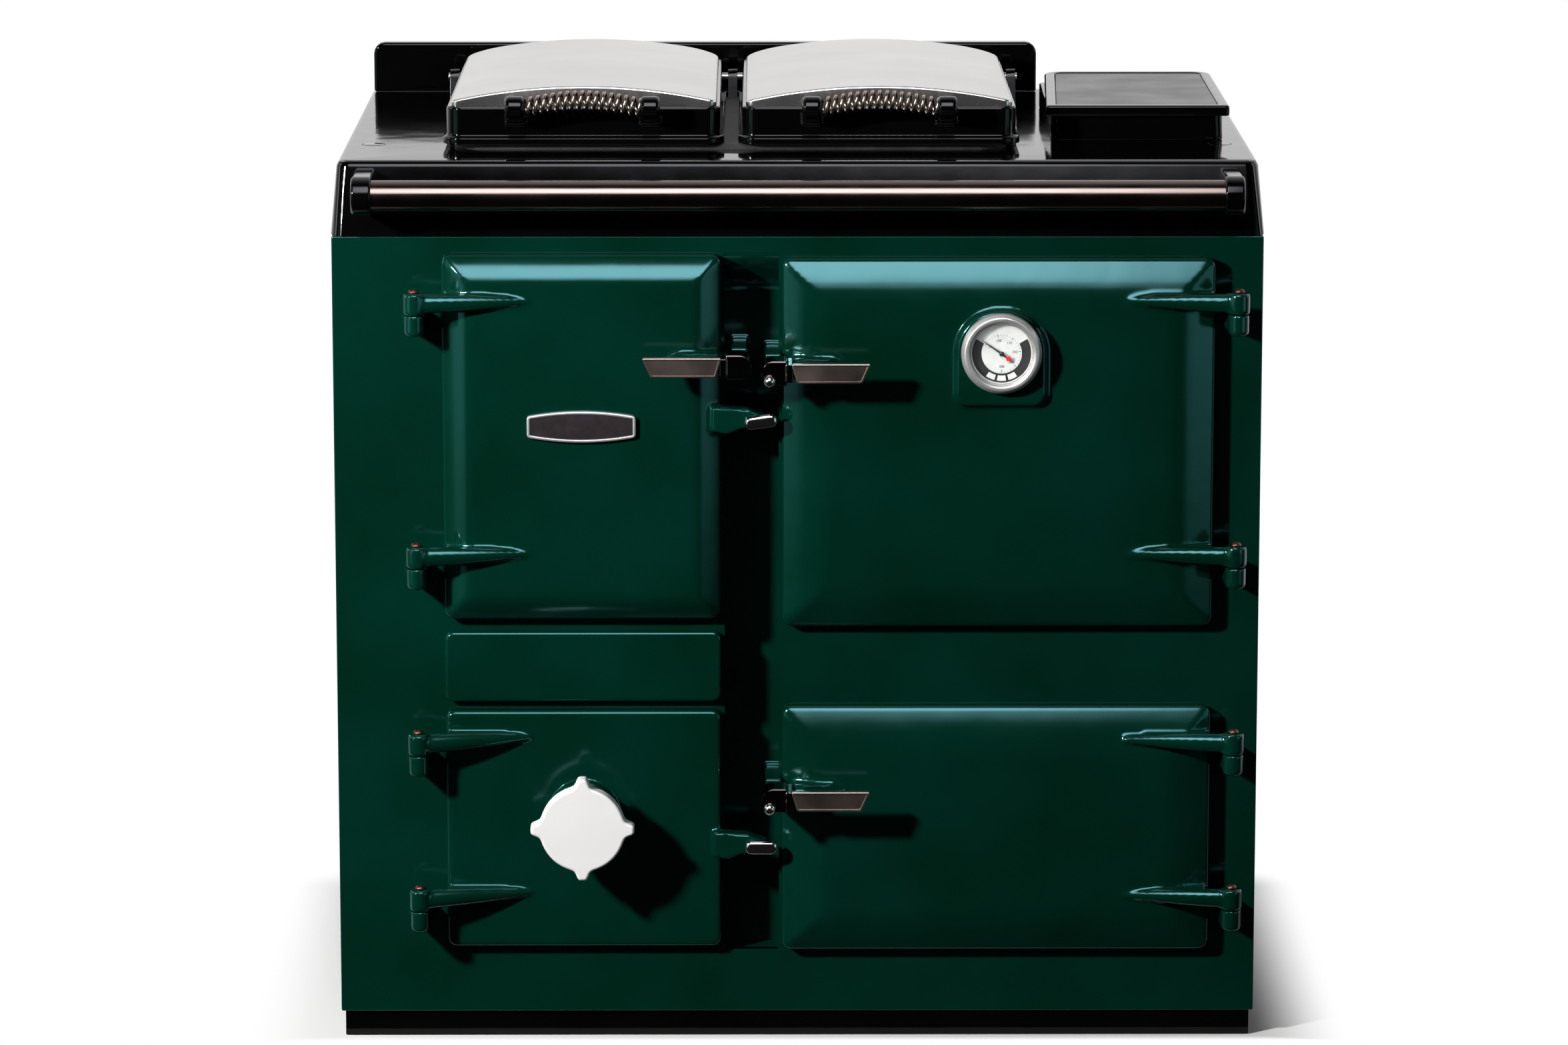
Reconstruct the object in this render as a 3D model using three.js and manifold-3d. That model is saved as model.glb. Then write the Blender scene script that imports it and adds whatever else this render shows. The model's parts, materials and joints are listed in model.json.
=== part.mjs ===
// A cast iron range cooker: two ovens on the right, firebox and ashpit on the left, a hotplate
// under two sprung-handle lids, a flue box and a towel rail. Millimetres, +Z up, +X to the right
// as seen from the front, +Y towards the wall. The shapes are drawn with y = 0 on the front
// plate's outer face; the whole group is then moved so that the origin is the centre of the base.
import * as THREE from 'three';
import { mergeVertices } from 'three/addons/utils/BufferGeometryUtils.js';
import Module from 'manifold-3d';

const wasm = await Module();
wasm.setup();

// ---------- driving dimensions ----------
const SEAT = 0.3; // gap between two pieces that rest on each other
const RUNNING = 1; // gap beside a piece that turns past another
const SINK = 1; // how far a lug is drawn into the casting that it belongs to

const BODY_WIDTH = 937;
const BODY_DEPTH = 608;
const TRAY_HEIGHT = 26;
const TRAY_INSET = 4;
const TRAY_WALL = 4;
const FRONT_TOP = 831; // where the green front ends and the black top begins
const FRONT_THICK = 8;
const SIDE_THICK = 4;
const BACK_THICK = 3;

const TOP_HEIGHT = 74;
const TOP_LIP = 1; // how far the top plate stands past the body on each side
const TOP_LEAN = 18; // how far its front leans back on the way up
const TOP_SIDE_LEAN = 6;
const TOP_WALL = 9;
const TOP_EDGE_ROUND = 6;
const TOP_CORNER = 14;

const UPSTAND_FROM_LEFT = 8.5; // body side to the upstand's left end
const UPSTAND_PAST_FLUE = 3; // how far its right end laps the flue box
const UPSTAND_HEIGHT = 54;
const UPSTAND_THICK = 15;
const UPSTAND_BACK = 6; // from its back face to the body's back face

const CAP_RADIUS = 12;
const CAP_BURIED = 8;
const CAP_FROM_SIDE = 35;
const CAP_FROM_FRONT = 143;

// towel rail
const RAIL_RADIUS = 15.5;
const RAIL_WALL = 2;
const RAIL_BELOW_TOP = 26.5; // cooker's top down to the rail's axis
const RAIL_STAND_OFF = 48; // axis of the rail in front of the front plate's face
const RAIL_FROM_SIDE = 34;
const RAIL_BRACKET_HEIGHT = 39;
const RAIL_BRACKET_WIDTH = 20;
const RAIL_SOCKET = 10; // how far the rail sits in each bracket

// door columns
const LEFT_MARGIN = 110.5; // body side to the left doors' hinge edge
const LEFT_DOOR_WIDTH = 281;
const RIGHT_MARGIN = 48.5; // body side to the right doors' hinge edge
const COLUMN_GAP = 61; // between the left doors and the right doors
const FIRE_DOOR_BOTTOM = 441;
const FIRE_DOOR_BELOW = 17; // front's top edge down to the door's top edge
const GRATE_PANEL_BOTTOM = 354;
const GRATE_PANEL_HEIGHT = 73;
const ASHPIT_DOOR_BOTTOM = 98;
const ASHPIT_DOOR_HEIGHT = 248;
const MAIN_DOOR_BOTTOM = 433;
const MAIN_DOOR_BELOW = 21;
const LOWER_DOOR_BOTTOM = 95;
const LOWER_DOOR_HEIGHT = 255;

// door castings
const DOOR_CORNER = 9;
const DOOR_RIM = 9; // depth of a raised door's outer edge
const DOOR_RISE = 20; // from that edge to the raised field
const DOOR_POCKET = 16; // depth of the pocket that holds a raised door's liner
const FIRE_BEVEL = 30;
const OVEN_BEVEL = 50;
const FLAT_DOOR_THICK = 15;
const GRATE_PANEL_THICK = 11;
const FLAT_EDGE_ROUND = 5;
const DOOR_LAND = 25; // how far a door laps the opening that it closes
const LINER_CLEAR = 6; // gap between a door liner and its opening
const LINER_DEPTH = 20; // how far a liner reaches behind the front plate's face

// door hinges
const HINGE_STAND_OFF = 45;
const LEFT_AXIS_OUT = 26; // hinge axis outside the left doors' edge
const RIGHT_AXIS_OUT = 21;
const KNUCKLE_RADIUS = 10;
const PIN_RADIUS = 3.5;
const PIN_CLEAR = 0.3;
const PIN_HEAD_RADIUS = 5.5;
const PIN_HEAD_HEIGHT = 4;
const DOOR_KNUCKLE_UP = 11; // door knuckle above the middle of its arm
const DOOR_KNUCKLE_DOWN = 11;
const FIXED_KNUCKLE_HEIGHT = 21;
const ARM_REACH = 89; // from the door's edge to the tip of a hinge arm
const ARM_RADIUS = 10;
const ARM_TIP_RADIUS = 2.5;
const ARM_SIDES = 10;
// middles of the hinges, which stand at the same heights in both columns
const TOP_HINGE_BELOW = 62; // front's top edge down to the highest hinges
const FIRE_HINGE_UP = 70; // fire door's lower edge up to its lower hinge
const ASHPIT_HINGE_DOWN = 28; // ashpit door's upper edge down to its upper hinge
const ASHPIT_HINGE_UP = 58; // its lower edge up to its lower hinge

// lever handles
const BLADE_LENGTH = 78; // along its top edge
const BLADE_HEIGHT = 20;
const BLADE_TAPER = 8; // how much the lower edge is drawn in at the free end
const BLADE_THICK = 8;
const BLADE_OUT = 76; // front of the blade in front of the front plate
const SHAFT_OUT = 44; // axis that the lever turns about
const SHAFT_RADIUS = 5;
const SLEEVE_RADIUS = 11;
const SLEEVE_LENGTH = 53;
const SHAFT_LENGTH = 24; // of the lever's shaft inside its sleeve
const CHEEK_THICK = 7;
const NOSE_LENGTH = 25;
const NOSE_RADIUS = 13;
const BALL_RADIUS = 7.5;
const BALL_BEHIND = 13; // its middle behind the blade's front
const TONGUE_OUT = 24; // nearest that the latch tongue comes to the front plate
const TONGUE_THICK = 8;
const KEEPER_THICK = 8;
const KEEPER_GAP = 0.5;
const OVEN_HANDLE_INSET = 11; // door edge to the start of the blade
const FIRE_HANDLE_INSET = 1;
const MAIN_HANDLE_DOWN = 107; // each door's upper edge down to its lever's shaft
const LOWER_HANDLE_DOWN = 85;
const FIRE_HANDLE_DOWN = 105;

// turn-button catches on the left doors
const BUTTON_LENGTH = 33;
const BUTTON_HEIGHT = 14;
const BUTTON_THICK = 9;
const BUTTON_OUT = 37;
const BUTTON_FROM_EDGE = 40; // its pivot outside the left doors' right edge
const BUTTON_STEM = 4;
const BUTTON_LUG_HEIGHT = 28;
const BUTTON_LUG_ROOT = 9; // how far the lug reaches in from the door's edge
const BUTTON_LUG_WAIST = 20; // from the door's edge out to the lug's waist
const FIRE_BUTTON_DOWN = 167; // each door's upper edge down to its button's pivot
const ASHPIT_BUTTON_DOWN = 139;
const FIRE_BUTTON_TILT = 8;

// spin wheel on the ashpit door
const WHEEL_DOWN = 109; // ashpit door's upper edge down to the wheel's middle
const WHEEL_RADIUS = 43;
const WHEEL_THICK = 18;
const WHEEL_OUT = 82;
const WHEEL_LOBES = 4;
const LOBE_REACH = 9.5;
const LOBE_WIDTH = 11;
const WHEEL_EDGE_ROUND = 3;
const WHEEL_SOCKET = 10;
const COLLAR_RADIUS = 36;
const COLLAR_WALL = 5;
const COLLAR_OUT = 60;
const SPINDLE_RADIUS = 5;
const SPINDLE_TAIL = 12; // how far the spindle reaches behind the front plate's face
const SPIDER_ARMS = 3;
const SPIDER_THICK = 8;
const SPIDER_HUB = 10;

// oven thermometer
const GAUGE_FROM_HINGE_EDGE = 216;
const GAUGE_DOWN = 92; // door's upper edge down to the gauge's middle
const GAUGE_RADIUS = 40.5;
const GAUGE_GLASS_RADIUS = 31;
const GAUGE_DEPTH = 13;
const GAUGE_BOSS_WIDTH = 92;
const GAUGE_BOSS_DROP = 55; // from the middle of the gauge to the foot of its boss
const GAUGE_BOSS_RISE = 8;
const NEEDLE_REACH = 24;
const NEEDLE_TAIL = 12;
const NEEDLE_REST = 145; // degrees from +X, seen from the front

// hotplate and lids
const LIDS_FROM_LEFT = 107.5; // body side to the left lid's outer edge
const LIDS_TO_FLUE = 35; // right lid's outer edge to the flue box
const LID_FRONT = 94;
const LID_FROM_BACK = 74; // body's back face to the lids' back edge
const LID_LAP_LEFT = 11; // how far the lids lap the hotplate, on its four sides
const LID_LAP_RIGHT = 12;
const LID_LAP_FRONT = 10;
const LID_LAP_BACK = 38;
const HOTPLATE_THICK = 24;
const HOTPLATE_PROUD = 5.5;
const HOTPLATE_CORNER = 30;
const LID_GAP = 14;
const LID_HEIGHT = 38;
const LID_CORNER = 20;
const LID_FOOT_LIP = 4;
const DOME_INSET = 8;
const DOME_RIM = 6;
const DOME_RISE = 15;
const DOME_CORNER = 38;
const LID_AXIS_BACK = 14; // from the lid's back edge forward to its hinge rod
const LID_ROD_RADIUS = 4;
const ROD_POST_WIDTH = 10;

// coiled wire handles of the lids
const COIL_RADIUS = 8.7; // middle of the wire
const WIRE_RADIUS = 1.8;
const COIL_PITCH = 6.6;
const COIL_TURNS = 16;
const COIL_BOW = 7.5;
const COIL_STAND_OFF = 26; // axis of the coil in front of the lid
const COIL_AXIS_UP = 3; // its ends above the lid base's upper edge
const HORN_WIDTH = 20;
const HORN_RADIUS = 12;
const HORN_ARC_FROM = 60; // degrees of its round end, seen from the right
const HORN_ARC_TO = 250;
const STEPS_PER_TURN = 8;
const WIRE_SIDES = 5;

// flue box
const FLUE_FROM_RIGHT = 29.5; // body side to the flue box
const FLUE_WIDTH = 177;
const FLUE_FRONT = 170;
const FLUE_FROM_BACK = 153; // body's back face to the flue box
const FLUE_HEIGHT = 26;
const FLUE_WALL = 8;
const FLUE_COVER_LAP = 6;
const FLUE_COVER_NOSE = 2; // further lap at its front
const FLUE_COVER_THICK = 11;
const FLUE_COVER_TAPER = 12;
const FLUE_COVER_RIM = 11;
const FLUE_PANEL_SUNK = 5;
const FLUE_COVER_CORNER = 22;
const SPIGOT_RADIUS = 64;
const SPIGOT_WALL = 5;
const SPIGOT_LENGTH = 12;
const SPIGOT_BELOW = 61; // front's top edge down to the spigot's top

// inside
const OVEN_WALL = 6;
const OVEN_MARGIN = 6; // oven box inside wall outside the edge of its opening
const OVEN_DEPTH = 480;
const FIREBOX_DEPTH = 420;
const FIREBOX_WALL = 10;
const BRICK_THICK = 28;
const GRATE_THICK = 16;
const GRATE_BARS = 7;
const GRATE_TRAVEL = 12;
const GRATE_REST = 10; // width of ledge under the edges of the grate
const PAN_WALL = 2;
const PAN_HEIGHT = 120;
const PAN_LENGTH = 380;
const PAN_CLEAR = 6;
const SHELF_WIRE = 3;
const SHELF_RUNNER = 6;
const SHELF_BARS = 9;

// ---------- working values ----------
const halfBody = BODY_WIDTH / 2;
const doorBack = -SEAT; // the doors' back faces stand just clear of the front plate
const leftDoorLeft = -halfBody + LEFT_MARGIN;
const leftDoorRight = leftDoorLeft + LEFT_DOOR_WIDTH;
const rightDoorRight = halfBody - RIGHT_MARGIN;
const rightDoorLeft = leftDoorRight + COLUMN_GAP;
const leftAxisX = leftDoorLeft - LEFT_AXIS_OUT;
const rightAxisX = rightDoorRight + RIGHT_AXIS_OUT;
const flueRight = halfBody - FLUE_FROM_RIGHT;
const flueLeft = flueRight - FLUE_WIDTH;
const flueBack = BODY_DEPTH - FLUE_FROM_BACK;
const lidsLeft = -halfBody + LIDS_FROM_LEFT;
const lidsRight = flueLeft - LIDS_TO_FLUE;
const lidBack = BODY_DEPTH - LID_FROM_BACK;
const lidWidth = (lidsRight - lidsLeft - LID_GAP) / 2;
const lidMiddle = (lidsLeft + lidsRight) / 2; // middle of the gap between the lids
const hotplateFrame = {
  left: lidsLeft + LID_LAP_LEFT,
  right: lidsRight - LID_LAP_RIGHT,
  front: LID_FRONT + LID_LAP_FRONT,
  back: lidBack - LID_LAP_BACK,
};
const topOfCooker = FRONT_TOP + TOP_HEIGHT;
const railZ = topOfCooker - RAIL_BELOW_TOP;
const interiorBack = BODY_DEPTH - BACK_THICK;
const hotplateTop = topOfCooker + HOTPLATE_PROUD;
const lidBottom = hotplateTop + SEAT;
const lidTop = lidBottom + LID_HEIGHT;
const lidAxisY = lidBack - LID_AXIS_BACK;
const lidAxisZ = lidBottom + LID_HEIGHT / 2;

const fireDoor = leftFrame(FIRE_DOOR_BOTTOM, FRONT_TOP - FIRE_DOOR_BELOW);
const gratePanel = leftFrame(GRATE_PANEL_BOTTOM, GRATE_PANEL_BOTTOM + GRATE_PANEL_HEIGHT);
const ashpitDoor = leftFrame(ASHPIT_DOOR_BOTTOM, ASHPIT_DOOR_BOTTOM + ASHPIT_DOOR_HEIGHT);
const mainDoor = rightFrame(MAIN_DOOR_BOTTOM, FRONT_TOP - MAIN_DOOR_BELOW);
const lowerDoor = rightFrame(LOWER_DOOR_BOTTOM, LOWER_DOOR_BOTTOM + LOWER_DOOR_HEIGHT);
const upperHinges = [fireDoor.bottom + FIRE_HINGE_UP, FRONT_TOP - TOP_HINGE_BELOW];
const lowerHinges = [ashpitDoor.bottom + ASHPIT_HINGE_UP, ashpitDoor.top - ASHPIT_HINGE_DOWN];
const fireHandleZ = fireDoor.top - FIRE_HANDLE_DOWN;
const mainHandleZ = mainDoor.top - MAIN_HANDLE_DOWN;
const lowerHandleZ = lowerDoor.top - LOWER_HANDLE_DOWN;
const fireButtonZ = fireDoor.top - FIRE_BUTTON_DOWN;
const ashpitButtonZ = ashpitDoor.top - ASHPIT_BUTTON_DOWN;
const wheelZ = ashpitDoor.top - WHEEL_DOWN;
const gaugeZ = mainDoor.top - GAUGE_DOWN;

function leftFrame(bottom, top) {
  return { left: leftDoorLeft, right: leftDoorRight, bottom, top };
}

function rightFrame(bottom, top) {
  return { left: rightDoorLeft, right: rightDoorRight, bottom, top };
}

function inset(frame, by) {
  return {
    left: frame.left + by,
    right: frame.right - by,
    bottom: frame.bottom + by,
    top: frame.top - by,
  };
}

// ---------- materials ----------
const finish = (color, roughness, metalness) =>
  new THREE.MeshStandardMaterial({ color, roughness, metalness });
const greenEnamel = finish(0x0b3b2d, 0.12, 0);
const blackEnamel = finish(0x0a0a0b, 0.12, 0);
const chrome = finish(0xc9c9cc, 0.12, 1);
const brushedSteel = finish(0xa9a39e, 0.35, 1);
const castIron = finish(0x2a2928, 0.6, 0.4);
const copper = finish(0x9a5a3a, 0.35, 1);
const dialWhite = finish(0xf2f1ee, 0.5, 0);
const needleBlack = finish(0x1c1416, 0.4, 0);
const clearGlass = finish(0xffffff, 0.02, 0);
const fireBrick = finish(0xb59a78, 0.9, 0);
const zincSteel = finish(0x8b8e90, 0.5, 0.8);

// ---------- making solids ----------
// A closed geometry becomes a solid once its shared corners are merged.
function solid(geometry) {
  const bare = geometry.index ? geometry.toNonIndexed() : geometry.clone();
  for (const name of Object.keys(bare.attributes)) {
    if (name !== 'position') bare.deleteAttribute(name);
  }
  const merged = mergeVertices(bare, 1e-4);
  const vertProperties = Float32Array.from(merged.getAttribute('position').array);
  const triVerts = Uint32Array.from(merged.index.array);
  return new wasm.Manifold(new wasm.Mesh({ numProp: 3, vertProperties, triVerts }));
}

function geometryOf(body) {
  const mesh = body.getMesh();
  const geometry = new THREE.BufferGeometry();
  geometry.setAttribute('position', new THREE.BufferAttribute(mesh.vertProperties, 3));
  geometry.setIndex(new THREE.BufferAttribute(mesh.triVerts, 1));
  geometry.computeVertexNormals();
  return geometry;
}

const joined = (...bodies) => bodies.reduce((whole, body) => whole.add(body));
const cut = (whole, ...tools) => tools.reduce((rest, tool) => rest.subtract(tool), whole);

// A rectangular block between two corners.
function block(x0, x1, y0, y1, z0, z1) {
  const geometry = new THREE.BoxGeometry(x1 - x0, y1 - y0, z1 - z0);
  geometry.translate((x0 + x1) / 2, (y0 + y1) / 2, (z0 + z1) / 2);
  return solid(geometry);
}

// A round bar between two points; toRadius makes it a cone.
function rod(from, to, radius, sides = 20, toRadius = radius) {
  const start = new THREE.Vector3(...from);
  const end = new THREE.Vector3(...to);
  const along = end.clone().sub(start);
  const geometry = new THREE.CylinderGeometry(toRadius, radius, along.length(), sides);
  const turn = new THREE.Quaternion();
  turn.setFromUnitVectors(new THREE.Vector3(0, 1, 0), along.clone().normalize());
  geometry.applyQuaternion(turn);
  const middle = start.add(end).multiplyScalar(0.5);
  geometry.translate(middle.x, middle.y, middle.z);
  return solid(geometry);
}

function ball(x, y, z, radius) {
  const geometry = new THREE.SphereGeometry(radius, 12, 8);
  geometry.translate(x, y, z);
  return solid(geometry);
}

// Points of an arc, in degrees, counter-clockwise.
function arc(u, v, radius, from, to, steps) {
  return Array.from({ length: steps + 1 }, (_, i) => {
    const angle = THREE.MathUtils.degToRad(from + ((to - from) * i) / steps);
    return new THREE.Vector2(u + radius * Math.cos(angle), v + radius * Math.sin(angle));
  });
}

// A closed ring of points about the origin.
const circle = (radius, sides) => arc(0, 0, radius, 0, 360 - 360 / sides, sides - 1);

// Outline of a rectangle with round corners; each corner may have its own radius.
function roundRect(left, right, bottom, top, radius, steps = 3) {
  const [lowRight, highRight, highLeft, lowLeft] = Array.isArray(radius)
    ? radius
    : [radius, radius, radius, radius];
  return [
    ...arc(right - lowRight, bottom + lowRight, lowRight, -90, 0, steps),
    ...arc(right - highRight, top - highRight, highRight, 0, 90, steps),
    ...arc(left + highLeft, top - highLeft, highLeft, 90, 180, steps),
    ...arc(left + lowLeft, bottom + lowLeft, lowLeft, 180, 270, steps),
  ];
}

// A skin over a stack of rings with as many points each, closed by a fan at either end.
function loft(rings) {
  const count = rings[0].length;
  const centre = (ring) =>
    ring.reduce((sum, p) => sum.add(p), new THREE.Vector3()).divideScalar(count);
  const points = [...rings.flat(), centre(rings[0]), centre(rings.at(-1))];
  const faces = [];
  const firstCap = rings.length * count;
  const lastRing = (rings.length - 1) * count;
  for (let j = 0; j < count; j += 1) {
    const next = (j + 1) % count;
    for (let i = 0; i < rings.length - 1; i += 1) {
      const low = i * count;
      const high = low + count;
      faces.push([low + j, low + next, high + j], [low + next, high + next, high + j]);
    }
    faces.push([firstCap, next, j], [firstCap + 1, lastRing + j, lastRing + next]);
  }
  return solid(facingOut(points, faces));
}

function facingOut(points, faces) {
  const volume = faces.reduce((sum, [a, b, c]) => {
    const normal = new THREE.Vector3().crossVectors(points[b], points[c]);
    return sum + points[a].dot(normal);
  }, 0);
  const index = volume > 0 ? faces : faces.map(([a, b, c]) => [a, c, b]);
  const geometry = new THREE.BufferGeometry();
  const flat = points.flatMap((p) => [p.x, p.y, p.z]);
  geometry.setAttribute('position', new THREE.Float32BufferAttribute(flat, 3));
  geometry.setIndex(index.flat());
  return geometry;
}

const inFront = (outline, y) => outline.map((p) => new THREE.Vector3(p.x, y, p.y));
const atHeight = (outline, z) => outline.map((p) => new THREE.Vector3(p.x, p.y, z));

// Straight extrusions of an outline: a front outline (x, z) from y0 to y1, a side outline (y, z)
// from x0 to x1, and a plan outline (x, y) from z0 to z1.
function extrude(outline, depth) {
  const shape = new THREE.Shape(outline);
  return new THREE.ExtrudeGeometry(shape, { depth, bevelEnabled: false });
}

function frontPrism(outline, y0, y1) {
  const geometry = extrude(outline, y1 - y0);
  geometry.rotateX(Math.PI / 2);
  geometry.translate(0, y1, 0);
  return solid(geometry);
}

function sidePrism(outline, x0, x1) {
  const geometry = extrude(outline, x1 - x0);
  const basis = new THREE.Matrix4().set(0, 0, 1, x0, 1, 0, 0, 0, 0, 1, 0, 0, 0, 0, 0, 1);
  geometry.applyMatrix4(basis);
  return solid(geometry);
}

function planPrism(outline, z0, z1) {
  const geometry = extrude(outline, z1 - z0);
  geometry.translate(0, 0, z0);
  return solid(geometry);
}

const cooker = new THREE.Group();
cooker.position.y = -BODY_DEPTH / 2;

function piece(name, body, material) {
  const mesh = new THREE.Mesh(geometryOf(body), material);
  mesh.name = name;
  cooker.add(mesh);
}

// ---------- body ----------
function frontWindow(frame, by = 0) {
  const f = inset(frame, by);
  return block(f.left, f.right, -1, FRONT_THICK + 1, f.bottom, f.top);
}

const openings = {
  fire: inset(fireDoor, DOOR_LAND),
  ashpit: inset(ashpitDoor, DOOR_LAND),
  main: inset(mainDoor, DOOR_LAND),
  lower: inset(lowerDoor, DOOR_LAND),
};
const grateWindow = {
  left: openings.fire.left,
  right: openings.fire.right,
  bottom: gratePanel.bottom + DOOR_LAND - FLAT_EDGE_ROUND,
  top: gratePanel.top - DOOR_LAND + FLAT_EDGE_ROUND,
};

// The lug that carries a fixed knuckle: an eye round the pin with a web back to the plate.
function fixedKnuckle(axisX, middleZ) {
  const top = middleZ - DOOR_KNUCKLE_DOWN - RUNNING / 2;
  const bottom = top - FIXED_KNUCKLE_HEIGHT;
  const eye = arc(axisX, -HINGE_STAND_OFF, KNUCKLE_RADIUS, 180, 360, 8);
  const foot = KNUCKLE_RADIUS + 2;
  const outline = [
    ...eye,
    new THREE.Vector2(axisX + foot, SINK),
    new THREE.Vector2(axisX - foot, SINK),
  ];
  const lug = planPrism(outline, bottom, top);
  const bore = rod(
    [axisX, -HINGE_STAND_OFF, bottom - 1],
    [axisX, -HINGE_STAND_OFF, top + 1],
    PIN_RADIUS + PIN_CLEAR,
    12,
  );
  return lug.subtract(bore);
}

// The lug that a handle's tongue rests under.
function keeper(noseMiddle, handleZ) {
  const under = handleZ + TONGUE_THICK / 2 + KEEPER_GAP;
  const half = NOSE_LENGTH / 3;
  return block(
    noseMiddle - half,
    noseMiddle + half,
    -SHAFT_OUT + NOSE_RADIUS + 2,
    SINK,
    under,
    under + KEEPER_THICK,
  );
}

// Where the middle of each latch nose lies along X; side is +1 when the blade points right.
const mainNoseX = rightDoorLeft + OVEN_HANDLE_INSET - CHEEK_THICK - NOSE_LENGTH / 2;
const fireNoseX = leftDoorRight - FIRE_HANDLE_INSET + CHEEK_THICK + NOSE_LENGTH / 2;

function frontPlate() {
  const outline = roundRect(
    -halfBody,
    halfBody,
    TRAY_HEIGHT + SEAT,
    FRONT_TOP - SEAT,
    2,
    1,
  );
  const plate = frontPrism(outline, 0, FRONT_THICK);
  const windows = [...Object.values(openings), grateWindow].map((frame) => frontWindow(frame));
  const left = [...upperHinges, ...lowerHinges].map((z) => fixedKnuckle(leftAxisX, z));
  const right = [...upperHinges, ...lowerHinges].map((z) => fixedKnuckle(rightAxisX, z));
  const keepers = [
    keeper(mainNoseX, mainHandleZ),
    keeper(mainNoseX, lowerHandleZ),
    keeper(fireNoseX, fireHandleZ),
  ];
  return joined(cut(plate, ...windows), ...left, ...right, ...keepers);
}
piece('front_plate', frontPlate(), greenEnamel);

function baseTray() {
  const x = halfBody - TRAY_INSET;
  const back = BODY_DEPTH - TRAY_INSET;
  const outside = block(-x, x, TRAY_INSET, back, 0, TRAY_HEIGHT);
  const wall = TRAY_WALL;
  const inside = block(
    -x + wall,
    x - wall,
    TRAY_INSET + wall,
    back - wall,
    wall,
    TRAY_HEIGHT + 1,
  );
  return outside.subtract(inside);
}
piece('base_tray', baseTray(), blackEnamel);

const sideBottom = TRAY_HEIGHT + SEAT;
const sideTop = FRONT_TOP - SEAT;
for (const [name, side] of [['side_panel_left', -1], ['side_panel_right', 1]]) {
  const inner = side * (halfBody - SIDE_THICK);
  const outer = side * halfBody;
  const panel = block(
    Math.min(inner, outer),
    Math.max(inner, outer),
    FRONT_THICK + SEAT,
    interiorBack - SEAT,
    sideBottom,
    sideTop,
  );
  piece(name, panel, greenEnamel);
}

const flueMiddleX = (flueLeft + flueRight) / 2;
const spigotZ = FRONT_TOP - SPIGOT_BELOW - SPIGOT_RADIUS;

function backPanel() {
  const panel = block(-halfBody, halfBody, interiorBack, BODY_DEPTH, sideBottom, sideTop);
  const spigot = rod(
    [flueMiddleX, interiorBack, spigotZ],
    [flueMiddleX, BODY_DEPTH + SPIGOT_LENGTH, spigotZ],
    SPIGOT_RADIUS,
    32,
  );
  const bore = rod(
    [flueMiddleX, interiorBack - 1, spigotZ],
    [flueMiddleX, BODY_DEPTH + SPIGOT_LENGTH + 1, spigotZ],
    SPIGOT_RADIUS - SPIGOT_WALL,
    32,
  );
  return panel.add(spigot).subtract(bore);
}
piece('back_panel', backPanel(), zincSteel);

// ---------- black top ----------
const topBottom = FRONT_TOP;
const topHalf = halfBody + TOP_LIP;
const postHalf = ROD_POST_WIDTH / 2;
const rodPosts = [lidsLeft - LID_GAP / 2, lidMiddle, lidsRight + LID_GAP / 2];

// y of the top plate's sloping front face at a height
const topFrontAt = (z) => -TOP_LIP + (TOP_LEAN * (z - topBottom)) / TOP_HEIGHT;

function topRing(z, share, extra = 0) {
  const side = topHalf - TOP_SIDE_LEAN * share - extra;
  const front = -TOP_LIP + TOP_LEAN * share + extra;
  const corner = Math.max(TOP_CORNER - extra, 2);
  const outline = roundRect(-side, side, front, BODY_DEPTH, [corner, 3, 3, corner], 3);
  return atHeight(outline, z);
}

function rodPost(x) {
  const outline = [
    new THREE.Vector2(lidAxisY - 14, topOfCooker - SINK),
    new THREE.Vector2(lidAxisY + 14, topOfCooker - SINK),
    ...arc(lidAxisY, lidAxisZ, LID_ROD_RADIUS + 4, 0, 180, 8),
  ];
  return sidePrism(outline, x - postHalf, x + postHalf);
}

function topPlate() {
  const edge = TOP_EDGE_ROUND;
  const roundStart = 1 - edge / TOP_HEIGHT;
  const outside = loft([
    topRing(topBottom, 0),
    topRing(topOfCooker - edge, roundStart),
    topRing(topOfCooker - edge * 0.3, 1 - (0.3 * edge) / TOP_HEIGHT, edge * 0.3),
    topRing(topOfCooker, 1, edge),
  ]);
  const wall = TOP_WALL;
  const inner = topHalf - TOP_SIDE_LEAN - wall;
  const hollow = block(
    -inner,
    inner,
    TOP_LEAN + wall,
    BODY_DEPTH - wall,
    topBottom - 1,
    topOfCooker - wall,
  );
  const hotplateHole = planPrism(
    roundRect(
      hotplateFrame.left - SEAT,
      hotplateFrame.right + SEAT,
      hotplateFrame.front - SEAT,
      hotplateFrame.back + SEAT,
      HOTPLATE_CORNER,
    ),
    topBottom,
    topOfCooker + 1,
  );
  const flueHole = block(
    flueLeft + 2 * FLUE_WALL,
    flueRight - 2 * FLUE_WALL,
    FLUE_FRONT + 2 * FLUE_WALL,
    flueBack - 2 * FLUE_WALL,
    topBottom,
    topOfCooker + 1,
  );
  const capHoles = [-1, 1].map((side) => {
    const x = side * (halfBody - CAP_FROM_SIDE);
    return rod(
      [x, CAP_FROM_FRONT, topOfCooker - CAP_BURIED],
      [x, CAP_FROM_FRONT, topOfCooker + 1],
      CAP_RADIUS + SEAT,
    );
  });
  const plate = cut(outside, hollow, hotplateHole, flueHole, ...capHoles);
  const posts = joined(...rodPosts.map(rodPost));
  const rodBore = rod(
    [rodPosts[0] - postHalf - 1, lidAxisY, lidAxisZ],
    [rodPosts[2] + postHalf + 1, lidAxisY, lidAxisZ],
    LID_ROD_RADIUS + PIN_CLEAR,
    16,
  );
  return plate.add(posts).subtract(rodBore);
}
piece('top_plate', topPlate(), blackEnamel);

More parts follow.
